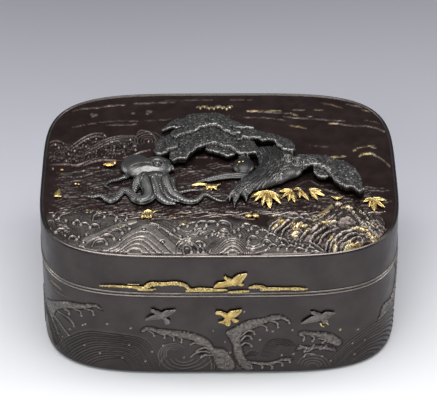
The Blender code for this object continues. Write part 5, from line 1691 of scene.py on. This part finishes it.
# Streaks in the sky: route, width, and how much they are rubbed and gilt
SKY_STREAKS = (
    (((-51.5, 40.4), (-48.6, 41.8)), 0.5, 0.25, 0.3),
    (((-48.6, 42), (-44, 42.6), (-41, 42.9)), 0.7, 0.75, 0.1),
    (((-41, 43.2), (-38, 44), (-32.6, 44.6)), 0.8, 0.85, 0.1),
    (((-30, 45.2), (-25, 45.5), (-15, 46.1)), 0.6, 0.75, 0.2),
    (((-51, 30.6), (-47, 32), (-46, 32.4)), 0.6, 0.4, 0.0), (((-45.6, 32.6), (-42.4, 33.2)), 0.6, 0.4, 0.0),
    (((-39, 31.8), (-36, 32.2), (-31, 32.2), (-28.4, 32.6)), 0.7, 0.5, 0.0),
    (((-42, 33.8), (-35, 34.6), (-28, 34.4)), 0.6, 0.42, 0.0),
    (((-26, 34.6), (-20, 35.2), (-15.6, 35.6)), 0.6, 0.45, 0.0),
    (((-19, 47.2), (-10, 47.4), (-2, 47.5)), 0.6, 0.3, 0.1), (((4, 47.6), (12, 47.6)), 0.5, 0.25, 0.3),
    (((10, 40.5), (15, 40.5), (21.8, 40.3)), 1.4, 0.0, 0.75),
    (((10, 40), (15, 39.8), (20, 39.2), (25.4, 38.8)), 0.6, 1.0, 0.1),
    (((26, 41), (30.4, 41)), 0.7, 0.5, 0.5), (((33.4, 41), (37, 40.8)), 0.6, 0.2, 0.9),
    (((36, 45.2), (39.4, 44.4), (43.6, 42)), 0.7, 0.15, 0.7),
    (((44.8, 44.6), (49, 43.2), (52, 41.8)), 0.7, 0.75, 0.1), (((50.2, 41), (53, 39.8)), 0.7, 0.2, 0.8),
    (((22.6, 37.2), (26, 36.2), (33, 35.4), (40, 34.4), (44, 34)), 0.7, 0.9, 0.0),
    (((25.4, 39.2), (27.6, 37.4)), 1.4, 0.1, 0.5), (((38.4, 32.6), (41.6, 32.6)), 1.2, 0.3, 0.7),
    (((41, 32.4), (47, 31), (51, 31), (55, 29.4), (58.4, 26.6)), 0.8, 0.6, 0.15),
    (((24.6, 31.4), (28, 30.6), (30.4, 29.4)), 0.9, 0.1, 0.8),
    (((8.6, 36.4), (14, 36.4), (18, 36), (23.4, 34.6)), 0.7, 0.4, 0.0),
    (((30, 14), (35, 13.2), (37, 13.2)), 0.5, 0.35, 0.1),
    (((37, 12.2), (40, 12.4), (43.4, 12.6)), 1.1, 0.2, 0.85),
    (((46, 15.4), (47, 17.2), (50, 18.4), (53.6, 19)), 0.9, 0.05, 0.6),
    (((51, 19.2), (54, 17.4)), 0.9, 0.05, 0.7), (((46, 16), (47, 16.4)), 1.2, 0.0, 0.8),
    (((48, 12.6), (49.6, 14.2), (52.4, 14.2), (53.4, 13.4)), 1.6, 0.1, 0.95),
    (((52, 14), (55, 11.6), (57, 8.6), (58.2, 6)), 0.7, 0.6, 0.5),
    (((50.6, 34.6), (54, 33.6), (56.4, 32)), 0.5, 0.1, 0.4), (((6, 36.8), (2, 37.8)), 0.4, 0.15, 0.0),
    (((31, 37.2), (33, 36.8)), 0.9, 0.1, 0.6), (((52.4, -21.6), (54.4, -26)), 0.5, 0.5, 0.1),
)


def sky(sheet, rng):
    """Streaks of mist and cloud, and a row of small birds far away."""
    for route, width, worn, gilt in SKY_STREAKS:
        path = spline(route, 0.4)
        path[:, 1] += 0.1 * np.sin(path[:, 0] * 2.1) - SKY_SHIFT
        start = 0
        while start < len(path) - 1:
            end = min(len(path) - 1, start + rng.integers(8, 26))
            tints = {"mist": 0.78 * worn * rng.uniform(0.5, 1), "gilt": 0.55 * gilt * rng.uniform(0.6, 1)}
            sheet.ridge(path[start : end + 1], (0.7 * width, 1.4 * width, 0.7 * width), 0.4, **tints)
            start = end + (0 if rng.uniform() < 0.75 else 1)
    for x, y in (
        (-43.8, 34), (-44.2, 35), (-42.8, 34.6), (-29.8, 35.6), (-24.6, 36.8), (-24.8, 35.4), (-23.8, 36.6),
    ):
        sheet.dome((x, y), (0.8, 0.8), 0.2, mist=0.45)
    for k, x in enumerate((-6.3, -4.8, -3.2, -1.6, -0.1, 1.4, 2.9, 4.1)):
        y = 39.0 + 0.7 * math.sin(1.9 * k)
        size = 1.05 if k % 3 else 1.5
        for side in (-1, 1):
            bend = (x + side * 0.45 * size, y + 0.45 * size)
            path = spline(((x, y - 0.4 * size), bend, (x + side * size, y)), 0.2)
            sheet.stroke(path, (0.8, 0.7, 0.4), (0.45, 0.4, 0.2), gilt=1.0, mist=0.5)


lid()


# The base, with what is carved in its walls

# The walls' grid: how far round it is fine to each side of the front's middle, its steps there and elsewhere,
# its lowest and highest row, the number of rows, and how deep and how high the relief may be
FINE_REACH, FINE_STEP, COARSE_STEP = 100.0, 0.37, 0.9
WALL_LOW, WALL_HIGH, WALL_ROWS, WALL_DEPTH, WALL_RISE = 1.3, 32.2, 94, 0.6, 0.68


def base():
    """The walls with their waves, closed by the foot below and by the lip, the inside and the floor above."""
    rng = np.random.default_rng(5)
    fine = np.arange(-FINE_REACH, FINE_REACH, FINE_STEP)
    coarse = np.arange(FINE_REACH, ROUND_ALL - FINE_REACH, COARSE_STEP)
    columns = np.concatenate([fine, coarse])
    rows = np.linspace(WALL_LOW, WALL_HIGH, WALL_ROWS)
    sheet = Sheet(columns, rows, ("worn", "water", "gilt", "shade", "pale"))
    wall_swells(sheet, rng)
    wall_crests(sheet, rng)
    rise = np.clip(sheet.layers["form"] + sheet.layers["line"] - sheet.layers["cut"], -WALL_DEPTH, WALL_RISE)
    rise *= (ramp(rows, 1.2, 2.6) * (1 - ramp(rows, 31.2, 32.0)))[:, None]
    bulge = rise - soften(rise, 5)
    rough = soften(rng.standard_normal(rise.shape), 1)
    pale = sheet.tints["pale"] * np.clip(1 + 0.4 * rough, 0.3, 1.6)
    # Rubbing on crests, the tint of wear and painted highlight and the pale rubbed foam brighten the walls;
    # patina in recesses and painted shade darken them
    worn = np.clip(np.maximum(sheet.tints["worn"] * ramp(bulge, -0.08, 0.14), pale), 0, 1)
    shade = sheet.tints["shade"] * ramp(0.2 - bulge, 0.0, 0.2)
    hollow = np.clip(0.7 * ramp(-bulge, 0.02, 0.2) + 0.8 * shade, 0, 1)
    wall = on_wall(sheet.x, sheet.y, rise)
    faces = band_faces(len(rows), len(columns))
    points = wall.reshape(-1, 3)
    shell_profile = [
        (MIDDLE, FLOOR_TOP),
        (LIP_INSIDE + 0.5, FLOOR_TOP),
        (LIP_INSIDE, FLOOR_TOP + 0.5),
        *[(LIP_INSIDE, height) for height in np.linspace(FLOOR_TOP + 4, LIP_TOP - 0.3, 6)],
        (LIP_INSIDE + 0.12, LIP_TOP - 0.05),
        (LIP_INSIDE + 0.02 - 0.25, LIP_TOP),
        (LIP_OUTSIDE + 0.2, LIP_TOP),
        (LIP_OUTSIDE, LIP_TOP - 0.2),
        (LIP_OUTSIDE, BASE_HEIGHT + 0.1),
        (LIP_OUTSIDE, BASE_HEIGHT),
        (0.1, BASE_HEIGHT),
        *quarter(0.0, BASE_HEIGHT - 0.4, 0.3, 80, -80),
        (0.06, BASE_HEIGHT - 0.86),
        (0.03, BASE_HEIGHT - 1.0),
        (0.0, rows[-1]),
    ]
    foot_profile = [(0.0, rows[0]), *quarter(1.2, 1.2, 1.2, 0, -90), (MIDDLE, 0.0)]
    parts = [
        (points, worn.ravel(), hollow.ravel(), sheet.tints["water"].ravel(), sheet.tints["gilt"].ravel())
    ]
    start = len(points)
    for profile in (shell_profile, foot_profile):
        rings = loft_points(profile, BASE_ROUND)
        shell = rings.reshape(-1, 3)
        first_end = profile is shell_profile
        faces += band_faces(len(profile), BASE_ROUND, start)
        centre = start + len(shell)
        ring = start if first_end else start + BASE_ROUND * (len(profile) - 1)
        faces += [[centre, ring + k, ring + (k + 1) % BASE_ROUND] for k in range(BASE_ROUND)]
        height = profile[0][1] if first_end else profile[-1][1]
        shell = np.concatenate([shell, [[0.0, 0.0, height]]])
        heights, zeros = shell[:, 2], np.zeros(len(shell))
        bead = np.where(first_end & (heights > BASE_HEIGHT - SEAM_BEAD) & (heights <= BASE_HEIGHT), 0.5, 0.0)
        groove = np.where(
            first_end & (np.abs(heights - BASE_HEIGHT + SEAM_GROOVE) < SEAM_GROOVE_HALF), 0.9, 0.0,
        )
        parts.append((shell, bead, groove, zeros, zeros))
        start += len(shell)
    points, worn, hollow, water, gilt = (np.concatenate([part[k] for part in parts]) for k in range(5))
    attributes = {"worn": worn, "hollow": hollow, "water": water, "gilt": gilt}
    make_piece("base", points, faces, attributes, DARK, "dark_metal", ("base",))


# Bodies of foam on the walls: the top, the underside and the claws
WALL_FOAM = (
    (
        (
            (-64.9, 18.2), (-58.1, 22), (-53.9, 24.4), (-50, 26.1), (-46.2, 26.6), (-43, 27.5), (-40.8, 27.6),
            (-39.6, 26.8), (-38.8, 25.6),
        ),
        (
            (-40, 26), (-41.3, 26.5), (-43, 25.8), (-45.3, 24.8), (-48.1, 23.8), (-51.2, 22.7), (-54.7, 20.8),
            (-57.5, 18.3), (-60.5, 13.3),
        ),
        (
            ((-44, 24.9), (-42.4, 24.8), (-41.8, 23.3)), ((-48.4, 23.5), (-46.7, 23.4), (-46.1, 21.8)),
            ((-52.9, 21.7), (-51.3, 21.7), (-50.9, 20.5)),
            ((-54.8, 18.9), (-51.6, 18.8), (-49.8, 17.5), (-49.2, 16.2)),
            ((-58.6, 15.2), (-55.7, 14.3), (-53.3, 12.5), (-51.4, 11.3)),
            ((-60.5, 13.3), (-58.4, 11.5), (-56.7, 9.4)),
        ),
    ),
    (
        (
            (-26.2, 17.8), (-25.3, 19.3), (-23.1, 20), (-20.2, 19.2), (-16.1, 18.7), (-11.9, 18.1),
            (-7.8, 17), (-4.1, 14.8), (-2, 11.7), (0.9, 10.6), (3.4, 7.9), (5.1, 3.6), (4, 1.4),
        ),
        (
            (0.6, 1.4), (-0.8, 4), (-2.6, 8.4), (-3.9, 10.3), (-5.8, 12), (-8.7, 13.9), (-12, 15.2),
            (-14.8, 15.8), (-18.2, 16.5), (-21, 17.3), (-22.7, 18.3), (-24.3, 18.4), (-25.4, 17.6),
        ),
        (
            ((-23.1, 18), (-22.1, 17.3), (-21.7, 16.4)), ((-19.8, 17.2), (-18.4, 16.6), (-18.3, 15.5)),
            ((-16.5, 16.3), (-15.3, 15.7), (-15.2, 14.5)), ((-13.6, 15.6), (-12.6, 15), (-12.8, 13.6)),
            ((-6.2, 12.4), (-8.2, 13.3), (-9.7, 12.7)),
            ((-2.9, 9.8), (-4.9, 11.2), (-6.6, 10.7), (-7.6, 9.9)),
            ((-2.5, 8.7), (-4.9, 9.6), (-7.4, 9.3), (-9.5, 7.5)), ((-3.3, 7.9), (-4.9, 8), (-6.2, 7.2)),
        ),
    ),
    (
        (
            (4.2, 12.7), (2.9, 15.4), (1.7, 17.6), (3.3, 18.9), (6.2, 20.7), (9.1, 22.6), (12.4, 23.3),
            (14.9, 23.7), (16.9, 24.7), (19.8, 24.8), (21.9, 23.6), (23.1, 21.5),
        ),
        (
            (22.5, 21.7), (20.6, 22.9), (18.6, 22.5), (16.5, 22.2), (14.9, 21.2), (12.4, 19.9), (10.4, 18.9),
            (8.3, 18.1), (7.3, 16.5), (6.7, 13.8), (7.1, 12.2), (8, 8), (9.6, 4.2), (10.8, 1.8), (9, 1.2),
            (6.7, 3.8), (4.8, 7.9),
        ),
        (
            ((17.3, 22.2), (18.8, 21.7), (19.2, 19.8)), ((13.7, 20.7), (15.1, 20.1), (15.6, 18.6)),
            ((7.5, 16.5), (9.1, 18.3), (10.8, 18.3), (11.5, 17.1)),
            ((7.3, 14.6), (8.5, 16.2), (10, 16), (10.6, 15)),
            ((7.3, 12.2), (8.3, 13.3), (10, 12.7), (10.6, 11.8)), ((21.4, 23.2), (22.7, 22.3), (23, 21.5)),
        ),
    ),
    (
        (
            (26.1, 16.1), (26.5, 17.4), (28.2, 17.7), (31.1, 17.1), (34.4, 16.8), (37.5, 15.3), (40.1, 12.9),
            (40.8, 10.9),
        ),
        ((39.5, 9.8), (38.5, 10.5), (35.8, 12), (33.7, 14.2), (31.1, 15.2), (28.6, 16), (27, 16)),
        (
            ((27, 16), (28, 15.4), (27.7, 13.9)), ((30.3, 15.6), (31.4, 14.7), (30.8, 13.4)),
            ((33.7, 13.9), (35.2, 13.2), (34.1, 12.3)),
        ),
    ),
    (
        (
            (25.2, 9.5), (26.2, 11.2), (28.3, 11.4), (30.4, 10.8), (32.5, 11.4), (35, 10.8), (38.1, 9.5),
            (38.9, 8.3),
        ),
        ((37.6, 8), (35, 9.2), (32.4, 9.8), (30.4, 9.4), (28.2, 9.9), (26.6, 9.8)),
        (
            ((27.5, 11.2), (28.9, 10.6), (28.3, 9.5)), ((30.8, 10.7), (30, 9.4), (28.1, 9)),
            ((35, 10.5), (34.2, 9.8), (33.4, 9.7)), ((30.5, 7.8), (28.8, 8), (28, 6.9)),
        ),
    ),
    (
        ((6.9, 5.7), (8.8, 5.5), (11.7, 5.1), (14.6, 4.7), (17.6, 5), (20.5, 6.2), (23.4, 6.5), (24.4, 5.8)),
        ((23, 5.5), (20.5, 5), (17.6, 3.8), (14.6, 3.5), (11.7, 3.9), (8.8, 4.4)),
        (
            ((8.4, 4.6), (10.5, 3.5), (10.7, 2.2)), ((12.1, 4.4), (14, 3.5), (14.2, 2.5)),
            ((15.9, 3.9), (17.4, 3.2), (17.4, 2)), ((19.2, 4.8), (20.7, 4.5), (20.9, 3.4)),
            ((21.7, 5.6), (23.2, 5.5), (23.4, 4.8)),
        ),
    ),
    (
        (
            (54.2, 15.2), (55.9, 17.2), (56.5, 19.2), (58.7, 20.3), (63.1, 19.4), (68, 21.6), (72, 25.4),
            (75.4, 27.6), (77, 25),
        ),
        ((74, 20.6), (69, 17.6), (63.4, 15.6), (58.6, 15.6)),
        (
            ((58.1, 18.2), (59.7, 19.2), (62.4, 16.6)), ((63.6, 17), (65.4, 18), (66.4, 16)),
            ((68.6, 19), (70.6, 20), (71, 17.8)), ((73, 22.4), (75.2, 22.8), (75.4, 20.4)),
        ),
    ),
)

# Swells on the walls: the outer and the inner curve and the number of ridges
WALL_SWELLS = (
    (
        (
            (-59.8, -0.3), (-54.8, 7.3), (-49.1, 13.1), (-43.4, 16.5), (-36.4, 16.8), (-28.9, 16.2),
            (-24.8, 14.8), (-22.4, 11.1), (-20.4, 5.8), (-18.3, 1.2),
        ),
        ((-45.7, 0), (-42, 3.5), (-38.5, 5.3), (-34.2, 6.5), (-31.7, 5.6), (-30, 3.2), (-28.9, 0.6)), 12,
    ),
    (
        (
            (31.9, 0.1), (36, 4.5), (40.2, 9.1), (43.6, 12.1), (48.2, 14.3), (52.9, 15.9), (57.5, 15.4),
            (64, 14.6), (71, 11), (77, 5.4), (81, 0),
        ),
        ((42.7, -1.2), (46.3, 2.1), (50.7, 3.5), (54.9, 1.3), (58.8, -2.9)), 10,
    ),
    (
        ((13.8, 7.9), (15, 12.1), (17, 14.8), (19.9, 15.3), (23.3, 14.4), (25.4, 11.9)),
        ((17.1, 7.8), (17.9, 11), (19.9, 12.9), (22, 12)), 4,
    ),
    (((8.2, 8.1), (10.4, 10), (12.8, 9.4)), ((9.6, 7.6), (10.6, 8.4), (12, 8)), 3),
)

# Copies of foam and swells on the other walls: the number, the shift round, the sign and, for foam, the lift
WALL_COPIES = (
    (0, 28.0, -1, 4.4), (0, ROUND_ALL - 36.0, 1, 4.0), (2, ROUND_ALL - 72.0, -1, 5.6), (1, 204.0, 1, 2.0),
    (2, 134.0, 1, 0.0), (0, 262.0, 1, -1.0), (3, 112.0, 1, 1.0), (4, 230.0, 1, 0.0),
)

WALL_SWELL_COPIES = ((0, 96.0, -1), (0, 202.0, 1), (0, 300.0, 1), (1, 236.0, -1), (1, 330.0, -1))


def moved(points, shift, sign, lift=0.0):
    """A line on the walls, moved along them, and turned over for a sign of minus one."""
    return tuple((shift + sign * around, up + lift) for around, up in points)


def wall_swells(sheet, rng):
    """Swells of fine nested ridges, with rings between them."""
    swells = list(WALL_SWELLS)
    for number, shift, sign in WALL_SWELL_COPIES:
        outer, inner, count = WALL_SWELLS[number]
        swells.append((moved(outer, shift, sign), moved(inner, shift, sign), count // 2))
    for outer, inner, count in swells:
        for k in range(count + 1):
            path = offset_between(outer, inner, k / count)
            sheet.stroke(path, (0.7, 1.1, 0.7), 0.22, ledge_section, worn=rng.uniform(0, 0.1))
            sheet.groove(path - (0, 0.55), (0.4, 0.7, 0.4), 0.22, shade=rng.uniform(0.6, 1))
    for route, centre in (
        (((-20, 3.6), (-20.3, 9), (-18.2, 12.2), (-14.5, 12.8), (-12, 11.2)), (-16.6, 9.4)),
        (((-19.9, 5.8), (-17.5, 2.5), (-12.1, 0.9), (-5.8, 2.8), (-2.2, 6.3)), (-12, 7)),
        (((26, 4), (27.6, 6.4), (31.4, 7.2), (35, 5.6), (37, 2)), (31, 2)),
        (((-1, 1), (1, 3.4), (4.4, 4), (7, 1.6)), (3, 0)),
    ):
        for share in (1.0, 0.78, 0.56, 0.36):
            sheet.stroke(drawn_in(route, centre, share), (0.4, 0.6, 0.4), 0.28, worn=0.25)
    for first, second, count in (
        (((-68, 14), (-62, 5), (-58, 0.5)), ((-58, 13.6), (-54, 8), (-51, 3)), 7),
        (((66, 16), (72, 9), (80, 2)), ((78, 20), (84, 12), (90, 4)), 7),
        (((-72, 20), (-78, 12), (-84, 4)), ((-66, 13), (-69, 8), (-72, 2)), 6),
        (((-4, 7), (-3, 3.6), (-3.4, 1)), ((3.8, 10), (3.2, 5), (4.4, 1)), 6),
    ):
        for k in range(count):
            path = offset_between(first, second, (k + rng.uniform(0.3, 0.7)) / count)
            sheet.stroke(path, (0.3, 0.6, 0.3), 0.28, worn=rng.uniform(0.1, 0.35))
            sheet.groove(path + (0.5, 0), (0.3, 0.5, 0.3), 0.2, shade=0.6)

WALL_DROPS = (
    (-45, 18.5), (-45.9, 17.8), (-37.3, 20.2), (-29.5, 19.2), (-45.5, 9.3), (-40.2, 7.3), (-32.5, 6.3),
    (-30.2, 12), (-24.8, 5.3), (-22.5, 9.4), (-18.8, 12.2), (-12, 7), (-2, 18.4), (1.2, 13.6), (3.4, 9),
    (17.5, 18), (24, 18.4), (13.3, 14.5), (20.6, 7.8), (24.5, 8.2), (34.1, 6.5), (37.1, 4), (46.4, 15.4),
    (44.6, 10), (45.5, 5), (49.2, 9.8), (-51, 14), (-54.5, 9), (8, 26.4),
)


def wall_crests(sheet, rng):
    """Bodies of stippled foam that end in claws, and drops of spray."""
    foams = list(WALL_FOAM)
    for number, shift, sign, lift in WALL_COPIES:
        top, low, routes = WALL_FOAM[number]
        top, low, *routes = (moved(route, shift, sign, lift) for route in (top, low, *routes))
        foams.append((top, low, routes))
    for top, low, routes in foams:
        ring = spline([*top, *low, top[0]], 0.5)
        # A dark outline of painted shade round each body of foam
        sheet.groove(ring, 1.1, 0.16, shade=0.7)
        sheet.fill(ring, 0.46, shoulder=0.9, layer="line", pale=0.22, shade=-1.0)
        bottom, upper = ring.min(axis=0), ring.max(axis=0)
        spots = rng.uniform(bottom, upper, (int(4.0 * np.prod(upper - bottom)), 2))
        for spot in spots[within(ring, spots[:, 0], spots[:, 1])]:
            raised = rng.uniform() < 0.6
            size = rng.uniform(0.2, 0.34)
            if raised:
                sheet.dome(spot, (size, size), rng.uniform(0.5, 0.62), worn=rng.uniform(0.2, 0.9))
            else:
                sheet.dome(spot, (size, size), 0.16, layer="cut", shade=0.9)
        rooted = [(1.8 * np.array(route[0]) - 0.8 * np.array(route[1]), *route) for route in routes]
        claws(sheet, rooted, 0.62, 0.6, 0.75, (0.42, 0.42))
    drops(sheet, WALL_DROPS, 0.36, 0.5, worn=0.9)
    drops(sheet, rng.uniform((78, 4), (ROUND_ALL - 78, 24), (60, 2)), 0.36, 0.5, worn=0.6)
    sheet.dome((40, 17), (0.42, 0.6), 0.5, gilt=0.9)
    sheet.ridge(spline(((-60, 29.4), (-57, 29.6), (-54, 29.2))), (0.4, 0.7, 0.3), 0.3, gilt=0.5, worn=0.4)
    for route in (((-64, 28.6), (-58, 27.4), (-50, 27)), ((-70, 31), (-64, 30.4), (-58, 28.4))):
        sheet.ridge(spline(route), (0.3, 0.6, 0.3), 0.25, worn=0.3)


base()


# The floor and the light


# How far the floor lies under the box, in metres, and the stretches in depth over which it darkens
FLOOR_LEVEL, FLOOR_FADES = -0.0003, ((-0.07, 0.05), (0.05, 0.20))


def stage():
    """A floor that darkens to the back."""
    mesh = bpy.data.meshes.new("floor")
    places = [(x, y, FLOOR_LEVEL) for x, y in ((-4, -3), (4, -3), (4, 5), (-4, 5))]
    mesh.from_pydata(places, [], [(0, 1, 2, 3)])
    floor = bpy.data.objects.new("floor", mesh)
    bpy.context.scene.collection.objects.link(floor)
    n = Nodes("floor")
    split = n.tree.nodes.new("ShaderNodeSeparateXYZ")
    n.tree.links.new(n.coordinates, split.inputs[0])
    shares = []
    for low, high in FLOOR_FADES:
        share = n.tree.nodes.new("ShaderNodeMapRange")
        n.tree.links.new(split.outputs["Y"], share.inputs["Value"])
        share.inputs["From Min"].default_value, share.inputs["From Max"].default_value = low, high
        shares.append(share.outputs["Result"])
    graded = n.mix(shares[0], (0.82, 0.83, 0.84), (0.435, 0.435, 0.480))
    graded = n.mix(shares[1], graded, (0.205, 0.207, 0.230))
    colour = n.mix(n.span(n.noise(3, 2), 0.3, 0.7, 0.0, 0.04), graded, (0.9, 0.9, 0.9))
    mesh.materials.append(n.finish(colour, 0.7, n.bump(n.noise(900, 2), 0.02, 0.0001), metallic=0.0))


def soft_light(name, place, aim, width, depth, power):
    """A large soft light that faces a place."""
    data = bpy.data.lights.new(name, "AREA")
    data.shape = "RECTANGLE"
    data.size, data.size_y = width, depth
    data.energy = power
    light = bpy.data.objects.new(name, data)
    light.location = place
    light.rotation_mode = "QUATERNION"
    light.rotation_quaternion = (Vector(aim) - Vector(place)).to_track_quat("-Z", "Y")
    bpy.context.scene.collection.objects.link(light)


stage()
world = bpy.data.worlds.new("world")
world.use_nodes = True
world.node_tree.nodes["Background"].inputs["Color"].default_value = (0.80, 0.82, 0.88, 1.0)
world.node_tree.nodes["Background"].inputs["Strength"].default_value = 0.28
bpy.context.scene.world = world
soft_light("top", (0.0, -0.10, 1.3), (0, 0, 0), 1.1, 0.9, 16)
soft_light("front", (-0.5, -1.6, 1.2), (0, 0, 0), 1.0, 0.6, 10)
soft_light("side", (1.5, 0.2, 0.55), (0, 0, 0.02), 0.5, 0.9, 11)
soft_light("left", (-1.5, 0.3, 0.55), (0, 0, 0.02), 0.5, 0.9, 8)
bpy.context.scene.view_settings.view_transform = "Standard"
